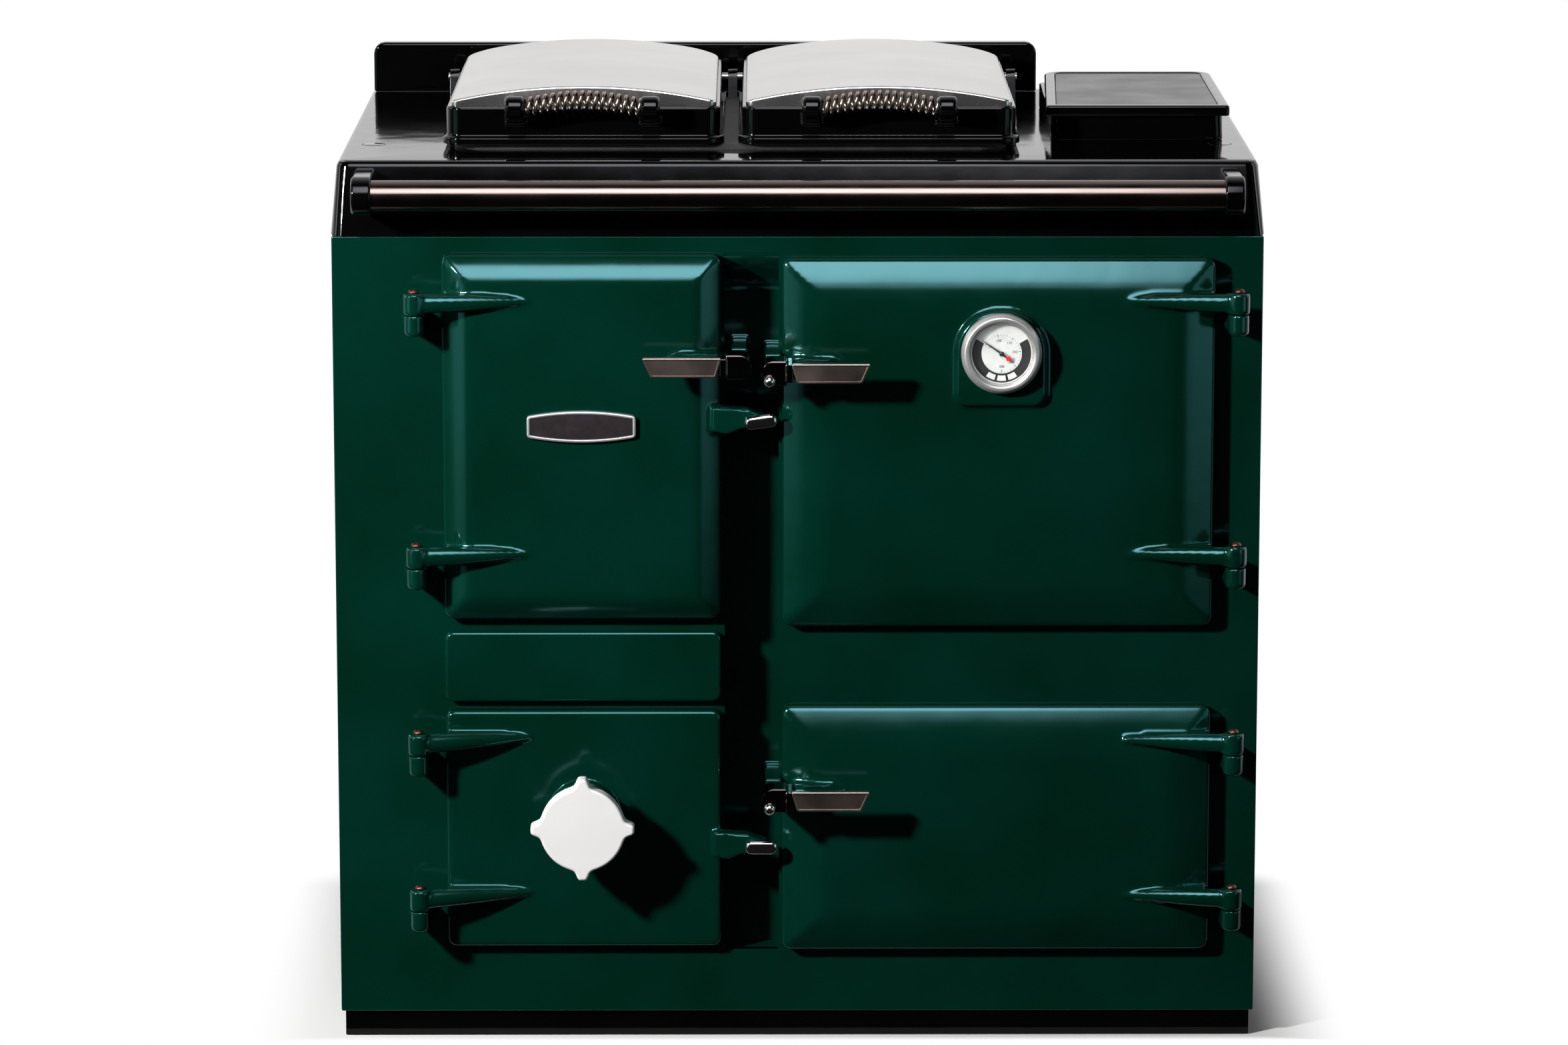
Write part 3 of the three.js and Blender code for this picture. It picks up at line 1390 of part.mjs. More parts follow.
const airSpindle = rod(
  [wheelX, SPINDLE_TAIL, wheelZ],
  [wheelX, -wheelBack - WHEEL_SOCKET + SEAT, wheelZ],
  SPINDLE_RADIUS,
  16,
);
const spindleStop = rod(
  [wheelX, SPINDLE_TAIL, wheelZ],
  [wheelX, SPINDLE_TAIL - 5, wheelZ],
  SPIDER_HUB - 1,
  16,
);
piece('air_spindle', airSpindle.add(spindleStop), brushedSteel);

// The wheel's rim is a circle with a rounded finger lobe at each quarter turn.
function wheelOutline(by) {
  const radius = WHEEL_RADIUS - by;
  const halfLobe = THREE.MathUtils.radToDeg(Math.asin(LOBE_WIDTH / 2 / WHEEL_RADIUS));
  const quarter = 360 / WHEEL_LOBES;
  return Array.from({ length: WHEEL_LOBES }, (_, i) => {
    const middle = i * quarter;
    const turn = THREE.MathUtils.degToRad(middle);
    const tipRadius = LOBE_WIDTH / 2 - by * 0.7;
    const reach = WHEEL_RADIUS + LOBE_REACH - LOBE_WIDTH / 2;
    const tip = arc(
      reach * Math.cos(turn),
      reach * Math.sin(turn),
      tipRadius,
      middle - 80,
      middle + 80,
      4,
    );
    const rim = arc(0, 0, radius, middle + halfLobe + 3, middle + quarter - halfLobe - 3, 7);
    return [...tip, ...rim];
  }).flat().map((p) => new THREE.Vector2(p.x + wheelX, p.y + wheelZ));
}

function airWheel() {
  const round = WHEEL_EDGE_ROUND;
  const disc = loft([
    inFront(wheelOutline(1), -wheelBack),
    inFront(wheelOutline(0), -wheelBack - 1),
    inFront(wheelOutline(0), -WHEEL_OUT + round),
    inFront(wheelOutline(round * 0.3), -WHEEL_OUT + round * 0.3),
    inFront(wheelOutline(round), -WHEEL_OUT),
  ]);
  const socket = rod(
    [wheelX, -wheelBack + 1, wheelZ],
    [wheelX, -wheelBack - WHEEL_SOCKET, wheelZ],
    SPINDLE_RADIUS + SEAT,
    20,
  );
  return disc.subtract(socket);
}
piece('air_wheel', airWheel(), chrome);

// ---------- oven thermometer ----------
// A round piece turned about an axis that points out of the door; profile is (radius, out).
function turned(profile, x, z, segments) {
  const geometry = new THREE.LatheGeometry(profile, segments);
  geometry.rotateX(Math.PI);
  const shift = new THREE.Matrix4().set(1, 0, 0, x, 0, 1, 0, 0, 0, 0, 1, z, 0, 0, 0, 1);
  geometry.applyMatrix4(shift);
  return solid(geometry);
}

const gaugeBack = gaugeBossOut + SEAT;
const gaugeFront = gaugeBack + GAUGE_DEPTH;
const dialOut = gaugeBack + 3.5;
const needleOut = dialOut + 3;

const bezelProfile = [
  new THREE.Vector2(0, gaugeBack),
  new THREE.Vector2(GAUGE_RADIUS - 1, gaugeBack),
  new THREE.Vector2(GAUGE_RADIUS, gaugeBack + 1),
  new THREE.Vector2(GAUGE_RADIUS, gaugeFront - 5),
  new THREE.Vector2(GAUGE_RADIUS - 1.5, gaugeFront - 2),
  new THREE.Vector2(GAUGE_RADIUS - 4, gaugeFront),
  new THREE.Vector2(GAUGE_GLASS_RADIUS + 2, gaugeFront),
  new THREE.Vector2(GAUGE_GLASS_RADIUS, gaugeFront - 1.5),
  new THREE.Vector2(GAUGE_GLASS_RADIUS, gaugeBack + 2),
  new THREE.Vector2(0, gaugeBack + 2),
];
piece('thermometer_bezel', turned(bezelProfile, gaugeX, gaugeZ, 32), chrome);

const dialDisc = rod(
  [gaugeX, -gaugeBack - 2 - SEAT, gaugeZ],
  [gaugeX, -dialOut, gaugeZ],
  GAUGE_GLASS_RADIUS - SEAT,
  32,
);
const dialPost = rod(
  [gaugeX, -dialOut + 0.5, gaugeZ],
  [gaugeX, -needleOut + SEAT, gaugeZ],
  1.5,
  10,
);
piece('thermometer_dial', dialDisc.add(dialPost), dialWhite);

function needle() {
  const turn = THREE.MathUtils.degToRad(NEEDLE_REST);
  const centre = new THREE.Vector2();
  const outline = [
    new THREE.Vector2(NEEDLE_REACH, 0.3),
    new THREE.Vector2(0, 1.1),
    new THREE.Vector2(-NEEDLE_TAIL * 0.45, 0.8),
    new THREE.Vector2(-NEEDLE_TAIL * 0.7, 3),
    new THREE.Vector2(-NEEDLE_TAIL, 0),
    new THREE.Vector2(-NEEDLE_TAIL * 0.7, -3),
    new THREE.Vector2(-NEEDLE_TAIL * 0.45, -0.8),
    new THREE.Vector2(0, -1.1),
    new THREE.Vector2(NEEDLE_REACH, -0.3),
  ].map((p) => p.rotateAround(centre, turn).add(new THREE.Vector2(gaugeX, gaugeZ)));
  const blade = frontPrism(outline.reverse(), -needleOut - 0.8, -needleOut);
  const hub = rod([gaugeX, -needleOut, gaugeZ], [gaugeX, -needleOut - 1.5, gaugeZ], 2.6, 16);
  return blade.add(hub);
}
piece('thermometer_needle', needle(), needleBlack);

const glassDisc = rod(
  [gaugeX, -gaugeFront + 4, gaugeZ],
  [gaugeX, -gaugeFront + 2, gaugeZ],
  GAUGE_GLASS_RADIUS - SEAT,
  32,
);
piece('thermometer_glass', glassDisc, clearGlass);

// ---------- lids ----------
function lidBase(middleX) {
  const half = lidWidth / 2;
  const ring = (by, z) => {
    const corner = LID_CORNER - by;
    return atHeight(
      roundRect(middleX - half + by, middleX + half - by, LID_FRONT + by, lidBack - by, corner, 4),
      z,
    );
  };
  const lip = LID_FOOT_LIP;
  const body = loft([
    ring(0.8, lidBottom),
    ring(0, lidBottom + 0.8),
    ring(0, lidBottom + 2 * lip - 1),
    ring(lip - 1, lidBottom + 2 * lip),
    ring(lip, lidBottom + 3 * lip),
    ring(lip, lidTop - 2),
    ring(lip + 1.5, lidTop),
  ]);
  const bore = rod(
    [middleX - half - 1, lidAxisY, lidAxisZ],
    [middleX + half + 1, lidAxisY, lidAxisZ],
    LID_ROD_RADIUS + PIN_CLEAR,
    16,
  );
  const horns = [-1, 1].map((side) => horn(middleX, side));
  return joined(body, ...horns).subtract(bore);
}

const coilY = LID_FRONT - COIL_STAND_OFF;
const coilEndZ = lidTop + COIL_AXIS_UP;
const coilHalf = (COIL_TURNS * COIL_PITCH) / 2;
const wireEnd = coilHalf + 3 * WIRE_RADIUS; // room for the bend and one wire's width of straight
const hornFace = wireEnd + SEAT;

// The arm that holds one end of a coiled handle in front of a lid.
function horn(middleX, side) {
  const inner = middleX + side * hornFace;
  const outer = inner + side * HORN_WIDTH;
  const root = LID_FRONT + LID_FOOT_LIP + 3;
  const outline = [
    new THREE.Vector2(root, lidTop - 26),
    new THREE.Vector2(root, lidTop - 2),
    ...arc(coilY, coilEndZ, HORN_RADIUS, HORN_ARC_FROM, HORN_ARC_TO, 10),
  ];
  return sidePrism(outline, Math.min(inner, outer), Math.max(inner, outer));
}

// The polished cover: an arch across the lid, trimmed to a plan with round back corners.
function lidDome(middleX) {
  const half = lidWidth / 2 - DOME_INSET;
  const bottom = lidTop + SEAT;
  const springing = bottom + DOME_RIM;
  const archRadius = (half ** 2 + DOME_RISE ** 2) / (2 * DOME_RISE);
  const sweep = THREE.MathUtils.radToDeg(Math.asin(half / archRadius));
  const profile = [
    new THREE.Vector2(middleX - half, bottom),
    new THREE.Vector2(middleX + half, bottom),
    ...arc(middleX, springing + DOME_RISE - archRadius, archRadius, 90 - sweep, 90 + sweep, 18),
  ];
  const front = LID_FRONT + DOME_INSET;
  const back = lidBack - DOME_INSET;
  const arch = frontPrism(profile, front, back);
  const plan = roundRect(
    middleX - half,
    middleX + half,
    front,
    back,
    [8, DOME_CORNER, DOME_CORNER, 8],
    5,
  );
  return arch.intersect(planPrism(plan, bottom - 1, springing + DOME_RISE + 1));
}

// Middle line of the wire: a helix about a bowed axis, with a straight run at either end.
function wirePath(middleX) {
  const steps = COIL_TURNS * STEPS_PER_TURN;
  const onCoil = (i) => {
    const along = -coilHalf + (COIL_PITCH * i) / STEPS_PER_TURN;
    const lift = COIL_BOW * Math.cos((Math.PI * along) / (2 * coilHalf));
    const angle = (2 * Math.PI * i) / STEPS_PER_TURN;
    return {
      point: new THREE.Vector3(
        middleX + along,
        coilY + COIL_RADIUS * Math.sin(angle),
        coilEndZ + lift + COIL_RADIUS * Math.cos(angle),
      ),
      outward: new THREE.Vector3(0, Math.sin(angle), Math.cos(angle)),
    };
  };
  const coil = Array.from({ length: steps + 1 }, (_, i) => onCoil(i));
  const bend = WIRE_RADIUS;
  const straight = (end, side, reach) => ({
    point: end.point.clone().add(new THREE.Vector3(side * reach, 0, 0)),
    outward: end.outward,
  });
  const first = coil[0];
  const last = coil.at(-1);
  return [
    straight(first, -1, wireEnd - coilHalf),
    straight(first, -1, bend),
    ...coil.slice(1, -1),
    straight(last, 1, bend),
    straight(last, 1, wireEnd - coilHalf),
  ];
}

function coilHandle(middleX) {
  const path = wirePath(middleX);
  const rings = path.map(({ point, outward }, i) => {
    const before = path[Math.max(i - 1, 0)].point;
    const after = path[Math.min(i + 1, path.length - 1)].point;
    const ahead = after.clone().sub(before).normalize();
    const across = new THREE.Vector3().crossVectors(ahead, outward).normalize();
    const up = new THREE.Vector3().crossVectors(across, ahead);
    return Array.from({ length: WIRE_SIDES }, (_, k) => {
      const angle = (2 * Math.PI * k) / WIRE_SIDES;
      return point
        .clone()
        .addScaledVector(up, WIRE_RADIUS * Math.cos(angle))
        .addScaledVector(across, WIRE_RADIUS * Math.sin(angle));
    });
  });
  return loft(rings);
}

// The least clear gap between turns, measured between points of the wire's middle line that lie
// at least half a turn apart along it.
function leastGap(middleX) {
  const points = wirePath(middleX).map((step) => step.point);
  let least = Infinity;
  for (let i = 0; i < points.length; i += 1) {
    for (let j = i + STEPS_PER_TURN / 2; j < points.length; j += 1) {
      least = Math.min(least, points[i].distanceTo(points[j]));
    }
  }
  return least - 2 * WIRE_RADIUS;
}

for (const [side, direction] of [['left', -1], ['right', 1]]) {
  const middleX = lidMiddle + (direction * (LID_GAP + lidWidth)) / 2;
  piece(`lid_base_${side}`, lidBase(middleX), blackEnamel);
  piece(`lid_dome_${side}`, lidDome(middleX), chrome);
  piece(`lid_handle_${side}`, coilHandle(middleX), chrome);
  const gap = leastGap(middleX).toFixed(2);
  console.log(`lid_handle_${side}: least gap of the wire to itself ${gap} mm`);
}

export default cooker;
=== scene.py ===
# %% [markdown]
# # A cast iron range cooker, dressed from its CAD frame
# The solids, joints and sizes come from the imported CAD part. This lesson gives them the looks of the
# real cooker: enamel over cast iron, chromed levers, coiled wire handles and polished lid covers.
# Every piece is made in metres in the cooker's own frame: +X to the right as seen from the front,
# +Y towards the wall, +Z up, with the origin in the middle of the base.

# %% Load the frame
import json
import math

import bmesh
import bpy
from mathutils import Matrix, Vector

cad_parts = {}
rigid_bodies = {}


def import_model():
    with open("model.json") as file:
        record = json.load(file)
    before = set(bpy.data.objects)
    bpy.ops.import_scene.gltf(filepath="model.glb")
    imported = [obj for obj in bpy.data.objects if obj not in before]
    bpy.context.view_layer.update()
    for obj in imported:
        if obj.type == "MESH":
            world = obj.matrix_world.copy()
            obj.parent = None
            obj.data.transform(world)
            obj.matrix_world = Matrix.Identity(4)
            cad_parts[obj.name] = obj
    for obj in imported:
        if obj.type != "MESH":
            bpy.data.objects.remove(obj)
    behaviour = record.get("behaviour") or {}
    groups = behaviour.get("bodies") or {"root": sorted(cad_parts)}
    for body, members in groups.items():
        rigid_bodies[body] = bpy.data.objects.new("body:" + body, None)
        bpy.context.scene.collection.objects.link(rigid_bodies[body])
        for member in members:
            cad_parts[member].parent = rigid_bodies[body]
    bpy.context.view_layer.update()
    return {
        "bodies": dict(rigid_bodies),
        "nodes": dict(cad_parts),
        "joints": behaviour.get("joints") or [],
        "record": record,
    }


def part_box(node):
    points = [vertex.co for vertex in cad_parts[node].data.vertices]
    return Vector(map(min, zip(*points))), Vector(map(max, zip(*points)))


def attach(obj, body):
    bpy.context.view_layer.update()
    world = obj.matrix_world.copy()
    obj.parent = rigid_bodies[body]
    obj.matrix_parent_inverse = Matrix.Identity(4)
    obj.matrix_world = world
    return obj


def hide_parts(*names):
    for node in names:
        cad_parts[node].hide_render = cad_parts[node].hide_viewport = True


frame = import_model()
MM = 0.001
FACE_Y = -304.0  # the front plate's outer face, in mm

# %% [markdown]
# ## Colours
# Blender's shaders want linear light, while a given colour is sRGB. One function turns the
# hex value of a colour into what the shader wants, so that colours can be written as people say them.


# %% Colours as hex
def linear(hex_colour):
    """Linear RGBA from an sRGB hex value such as #0b3b2d."""
    value = hex_colour.lstrip("#")
    channels = [int(value[i : i + 2], 16) / 255 for i in (0, 2, 4)]
    bent = [c / 12.92 if c <= 0.04045 else ((c + 0.055) / 1.055) ** 2.4 for c in channels]
    return (*bent, 1.0)


print("middle grey #808080 is", round(linear("#808080")[0], 3), "in linear light")


# %% [markdown]
# ## Camera
# The photograph was taken with a long lens a little above the cooker, so upright edges stay almost
# parallel. The place, tilt and lens were solved from corners whose real sizes are known. The shift is
# small, because it stays when the camera moves to another side.

# %% Camera
CAMERA_PLACE = (-39.98 * MM, -6399.2 * MM, 1723.6 * MM)
CAMERA_PITCH = 10.57  # degrees below the horizon
CAMERA_YAW = 0.247  # degrees to the right
camera_data = bpy.data.cameras.new("camera")
camera_data.lens = 140.74
camera_data.sensor_width = 36
camera_data.shift_y = -0.03
camera_data.clip_end = 100
camera = bpy.data.objects.new("camera", camera_data)
camera.location = CAMERA_PLACE
camera.rotation_euler = (math.radians(90 - CAMERA_PITCH), 0, math.radians(-CAMERA_YAW))
bpy.context.scene.collection.objects.link(camera)
bpy.context.scene.camera = camera
bpy.context.scene.view_settings.view_transform = "Standard"
print("camera:", round(camera_data.lens), "mm lens,", round(-CAMERA_PLACE[1], 2), "m in front")


# %% [markdown]
# ## Nodes
# A material is a small tree of nodes. One function adds any node with its settings and its links, so
# that each finish below reads like a list of what the surface does. Geometry Nodes trees are made with
# it too, and get named inputs for their sizes.


# %% Adding a node
def add(tree, kind, settings=None, links=None, **values):
    """Adds one node: settings are its properties, values its sockets, links the sockets fed by others."""
    node = tree.nodes.new(kind)
    for key, value in (settings or {}).items():
        setattr(node, key, value)
    for key, value in values.items():
        node.inputs[key.replace("_", " ")].default_value = value
    for key, source in (links or {}).items():
        tree.links.new(source, node.inputs[key])
    return node


def new_material(name):
    """An empty material with its output node; the names say what the surface is made of."""
    material = bpy.data.materials.new(name)
    material.use_nodes = True
    tree = material.node_tree
    tree.nodes.clear()
    output = tree.nodes.new("ShaderNodeOutputMaterial")
    return material, tree, output


def socket_tree(name, *inputs):
    """A Geometry Nodes tree with named inputs besides its geometry."""
    tree = bpy.data.node_groups.new(name, "GeometryNodeTree")
    tree.interface.new_socket("Geometry", in_out="INPUT", socket_type="NodeSocketGeometry")
    for label, kind in inputs:
        tree.interface.new_socket(label, in_out="INPUT", socket_type=f"NodeSocket{kind}")
    tree.interface.new_socket("Geometry", in_out="OUTPUT", socket_type="NodeSocketGeometry")
    return tree, add(tree, "NodeGroupInput").outputs


SMOOTH = {"interpolation_type": "SMOOTHSTEP"}
LARGER = {"operation": "MAXIMUM"}
PRODUCT = {"operation": "MULTIPLY"}

# %% [markdown]
# ## Studio
# The cooker stands on a small sheet of white paper in a plain studio. The room behind it is white,
# which is what the black top and the lids mirror, and the room behind the camera is dark, which keeps
# the enamel deep. For the camera the paper fades into the white background, and keeps the shadow at
# the cooker's foot.

# %% Floor
FOOTPRINT = (0.4685, 0.304)  # half the width and half the depth of the cooker
PAPER_HALF_WIDTH = 1.5
PAPER_FRONT = -0.325
PAPER_BACK = 1.6
UNDER_TRAY = -0.0005  # the paper lies this low, so that it never flickers through the tray
sheet = [
    (-PAPER_HALF_WIDTH, PAPER_FRONT, 0),
    (PAPER_HALF_WIDTH, PAPER_FRONT, 0),
    (PAPER_HALF_WIDTH, PAPER_BACK, 0),
    (-PAPER_HALF_WIDTH, PAPER_BACK, 0),
]
floor_mesh = bpy.data.meshes.new("studio_floor")
floor_mesh.from_pydata(sheet, [], [(0, 1, 2, 3)])
studio_floor = bpy.data.objects.new("studio_floor", floor_mesh)
studio_floor.location.z = UNDER_TRAY
bpy.context.scene.collection.objects.link(studio_floor)
print("paper:", 2 * PAPER_HALF_WIDTH, "m wide,", PAPER_BACK - PAPER_FRONT, "m deep")

# %% Paper that turns white round the shadow
SHADOW_WIDTH = 0.1  # how far from the cooker the paper has turned into plain white
SHADOW_FRONT = 0.02  # the same in front of it
floor_paper, tree, output = new_material("white_seamless_paper")
paper = add(tree, "ShaderNodeBsdfDiffuse", Color=linear("#f4f3f1"))
white = add(tree, "ShaderNodeEmission", Color=(1, 1, 1, 1), Strength=1.0)
where = add(tree, "ShaderNodeTexCoord").outputs["Object"]
mirrored = add(tree, "ShaderNodeVectorMath", {"operation": "ABSOLUTE"}, {0: where})
past = add(tree, "ShaderNodeVectorMath", {"operation": "SUBTRACT"}, {0: mirrored.outputs["Vector"]})
past.inputs[1].default_value = (*FOOTPRINT, 0)
outside = add(tree, "ShaderNodeVectorMath", LARGER, {0: past.outputs["Vector"]})
outside.inputs[1].default_value = (0, 0, 0)
distance = add(tree, "ShaderNodeVectorMath", {"operation": "LENGTH"}, {0: outside.outputs["Vector"]})
from_side = {"Value": distance.outputs["Value"]}
sideways = add(tree, "ShaderNodeMapRange", SMOOTH, from_side, From_Min=0.0, From_Max=SHADOW_WIDTH)
depth = add(tree, "ShaderNodeSeparateXYZ", None, {0: where})
front_edge = -FOOTPRINT[1]
forwards = add(
    tree,
    "ShaderNodeMapRange",
    SMOOTH,
    {"Value": depth.outputs["Y"]},
    From_Min=front_edge,
    From_Max=front_edge - SHADOW_FRONT,
)
both = {0: sideways.outputs["Result"], 1: forwards.outputs["Result"]}
fade = add(tree, "ShaderNodeMath", LARGER, both)
ray = add(tree, "ShaderNodeLightPath")
straight = {0: ray.outputs["Is Camera Ray"], 1: ray.outputs["Is Transmission Ray"]}
seen = add(tree, "ShaderNodeMath", LARGER, straight)
share = add(tree, "ShaderNodeMath", PRODUCT, {0: fade.outputs["Value"], 1: seen.outputs["Value"]})
blend = {0: share.outputs["Value"], 1: paper.outputs["BSDF"], 2: white.outputs["Emission"]}
mixed = add(tree, "ShaderNodeMixShader", None, blend)
tree.links.new(mixed.outputs["Shader"], output.inputs["Surface"])
floor_mesh.materials.append(floor_paper)
print("the shadow shows up to", SHADOW_WIDTH, "m beside the cooker")

# %% World
ROOM_FILL = 0.03  # light that the room gives from all round
ROOM_FRONT = 0.012  # how bright the dark room behind the camera looks in a reflection
world = bpy.data.worlds.new("studio_room")
bpy.context.scene.world = world
world.use_nodes = True
tree = world.node_tree
tree.nodes.clear()
output = tree.nodes.new("ShaderNodeOutputWorld")
direction = add(tree, "ShaderNodeTexCoord")
parts = add(tree, "ShaderNodeSeparateXYZ", None, {0: direction.outputs["Generated"]})
behind = add(
    tree,
    "ShaderNodeMapRange",
    SMOOTH,
    {"Value": parts.outputs["Y"]},
    From_Min=-0.2,
    From_Max=0.6,
    To_Min=ROOM_FRONT,
    To_Max=1.0,
)
ray = add(tree, "ShaderNodeLightPath")
bent = {0: ray.outputs["Is Glossy Ray"], 1: ray.outputs["Is Transmission Ray"]}
mirrored = add(tree, "ShaderNodeMath", LARGER, bent)
gloss_links = {"Factor": mirrored.outputs["Value"], "B": behind.outputs["Result"]}
for_gloss = add(tree, "ShaderNodeMix", None, gloss_links, A=ROOM_FILL)
camera_links = {"Factor": ray.outputs["Is Camera Ray"], "A": for_gloss.outputs["Result"]}
for_camera = add(tree, "ShaderNodeMix", None, camera_links, B=1.0)
room = add(
    tree, "ShaderNodeBackground", None, {"Strength": for_camera.outputs["Result"]}, Color=(1, 1, 1, 1)
)
tree.links.new(room.outputs["Background"], output.inputs["Surface"])
print("room light:", ROOM_FILL, "all round, white to the camera")


# %% [markdown]
# A lamp is placed by where it stands and what it points at. Sizes are in metres: the larger a lamp
# is, the softer its shadow, and the broader the band that glossy enamel shows of it. One small lamp
# lights the cooker and draws crisp shadows of its levers. The large boxes fade towards their edges and
# only show in what enamel and chrome mirror, so they shape the gloss and leave the colours alone.


# %% Lamps
def fade_edges(data):
    """Lets an area lamp fade from its middle towards its sides, as a softbox with a deep hood does."""
    data.use_nodes = True
    tree = data.node_tree
    tree.nodes.clear()
    output = tree.nodes.new("ShaderNodeOutputLight")
    place_on_lamp = add(tree, "ShaderNodeNewGeometry").outputs["Parametric"]
    parts = add(tree, "ShaderNodeSeparateXYZ", None, {0: place_on_lamp})
    humps = []
    for axis in "XY":
        hump = add(tree, "ShaderNodeMath", {"operation": "PINGPONG"}, {0: parts.outputs[axis]})
        hump.inputs[1].default_value = 0.5
        height = {"Value": hump.outputs["Value"]}
        rounded = add(tree, "ShaderNodeMapRange", SMOOTH, height, From_Max=0.3, To_Max=1.5)
        humps.append(rounded.outputs["Result"])
    falloff = add(tree, "ShaderNodeMath", PRODUCT, {0: humps[0], 1: humps[1]})
    glow = add(tree, "ShaderNodeEmission", None, {"Strength": falloff.outputs["Value"]})
    tree.links.new(glow.outputs["Emission"], output.inputs["Surface"])


def softbox(name, place, aim, width, height, power, colour="#ffffff", mirrored_only=False):
    """A lamp of that size; one that is only seen mirrored gets soft edges."""
    data = bpy.data.lights.new(name, "AREA")
    data.shape = "RECTANGLE"
    data.size, data.size_y = width, height
    data.energy = power
    data.color = linear(colour)[:3]
    if mirrored_only:
        fade_edges(data)
    lamp = bpy.data.objects.new(name, data)
    lamp.location = place
    lamp.rotation_euler = (Vector(aim) - Vector(place)).to_track_quat("-Z", "Y").to_euler()
    lamp.visible_diffuse = not mirrored_only
    bpy.context.scene.collection.objects.link(lamp)
    print(f"{name}: {width} by {height} m, {power} W")


softbox("key_light", (-1.9, -2.1, 1.75), (0.0, -0.3, 0.5), 0.2, 0.2, 116)
softbox("overhead_softbox", (-0.1, -2.05, 2.48), (0, -0.3, 0.7), 2.0, 1.95, 66, "#f4f6ff", True)
for side, name in ((-1, "left_softbox"), (1, "right_softbox")):
    softbox(name, (side * 2.5, -2.0, 0.8), (0, -0.3, 0.6), 2.2, 2.2, 9, "#b4e6e0", True)
    softbox(f"{name}_edge", (side * 2.5, -0.2, 1.5), (0, 0.1, 0.6), 0.5, 1.2, 7)

# %% [markdown]
# ## Finishes
# Vitreous enamel is glass fused onto iron. Its colour lies under a clear skin, it pulls a little thin
# over sharp edges, and it never melts quite flat: long, shallow waves bend what it mirrors. The green
# one tints its own highlights a little, while the black one mirrors less than clear glass would.


# %% Enamel, the glass skin over the castings
def lumps(tree, where, millimetres, detail=2.0):
    """A noise whose lumps are about that many millimetres across."""
    size = 1000 / millimetres
    links = {"Vector": where}
    return add(tree, "ShaderNodeTexNoise", None, links, Scale=size, Detail=detail, Roughness=0.5)


def enamel(name, deep, thin, roughness, waves, gloss="#ffffff"):
    """Fired enamel whose colour varies at random, in patches, between deep and thin."""
    material, tree, output = new_material(name)
    where = add(tree, "ShaderNodeTexCoord").outputs["Object"]
    cloud = lumps(tree, where, 140, 3.0)
    tone = add(tree, "ShaderNodeValToRGB", None, {"Fac": cloud.outputs["Fac"]})
    tone.color_ramp.elements[0].position = 0.32
    tone.color_ramp.elements[1].position = 0.72
    tone.color_ramp.elements[0].color = linear(deep)
    tone.color_ramp.elements[1].color = linear(thin)
    wave = lumps(tree, where, 38, 1.0)
    peel = lumps(tree, where, 5, 1.0)
    slow_links = {"Height": wave.outputs["Fac"]}
    slow = add(tree, "ShaderNodeBump", None, slow_links, Strength=waves, Distance=0.004)
    fine_links = {"Height": peel.outputs["Fac"], "Normal": slow.outputs["Normal"]}
    fine = add(tree, "ShaderNodeBump", None, fine_links, Strength=waves * 0.35, Distance=0.0006)
    patches = {"Value": lumps(tree, where, 60, 4.0).outputs["Fac"]}
    clearest, dullest = roughness * 0.7, roughness * 1.5
    smear = add(tree, "ShaderNodeMapRange", None, patches, To_Min=clearest, To_Max=dullest)
    links = {
        "Base Color": tone.outputs["Color"],
        "Roughness": smear.outputs["Result"],
        "Normal": fine.outputs["Normal"],
    }
    glass = add(tree, "ShaderNodeBsdfPrincipled", None, links, IOR=1.52)
    glass.inputs["Specular Tint"].default_value = linear(gloss)
    tree.links.new(glass.outputs["BSDF"], output.inputs["Surface"])
    print(f"{name}: {deep} to {thin}, roughness {roughness}")
    return material


green_enamel = enamel("green_vitreous_enamel", "#01271a", "#023025", 0.13, 0.05, "#a4f4fb")
black_enamel = enamel("black_vitreous_enamel", "#030303", "#060606", 0.07, 0.05, "#989898")
# fired less hot, it keeps a satin skin that spreads what it mirrors
satin_black = enamel("satin_black_enamel", "#0b0a0a", "#100f0f", 0.3, 0.02)

# %% [markdown]
# Chrome plate and polished steel are bare metal: all their colour is in what they mirror. What tells
# them apart is the polish. Chrome is nearly a mirror with a few hairline scratches, while a brushed
# bar has fine parallel lines that stretch each reflection across them. One line in the grain is 1 mm
# wide here, about ten times the real grit, so that it shows in a render.


# %% Bare metals
def metal(name, colour, roughness, grain=None, grain_depth=0.0, smear_size=45, bareness=1.0):
    """A bare metal; grain is how far its lines are stretched along X, Y and Z."""
    material, tree, output = new_material(name)
    where = add(tree, "ShaderNodeTexCoord").outputs["Object"]
    patches = {"Value": lumps(tree, where, smear_size, 4.0).outputs["Fac"]}
    clearest, dullest = roughness * 0.6, roughness * 1.5
    smear = add(tree, "ShaderNodeMapRange", None, patches, To_Min=clearest, To_Max=dullest)
    links = {"Roughness": smear.outputs["Result"]}
    if grain:
        stretched = add(tree, "ShaderNodeMapping", None, {"Vector": where}, Scale=grain)
        lines = lumps(tree, stretched.outputs["Vector"], 1.0, 3.0)
        line_links = {"Height": lines.outputs["Fac"]}
        groove = add(tree, "ShaderNodeBump", None, line_links, Strength=0.5, Distance=grain_depth)
        links["Normal"] = groove.outputs["Normal"]
    bare = add(tree, "ShaderNodeBsdfPrincipled", None, links, Metallic=bareness)
    bare.inputs["Base Color"].default_value = linear(colour)
    tree.links.new(bare.outputs["BSDF"], output.inputs["Surface"])
    print(f"{name}: {colour}, roughness {roughness}")
    return material


# blasted and lacquered: it shows its own pale colour and mirrors next to nothing
satin_wheel = metal("satin_cast_aluminium", "#faf8f7", 0.45, None, 0.0, 30, 0.05)
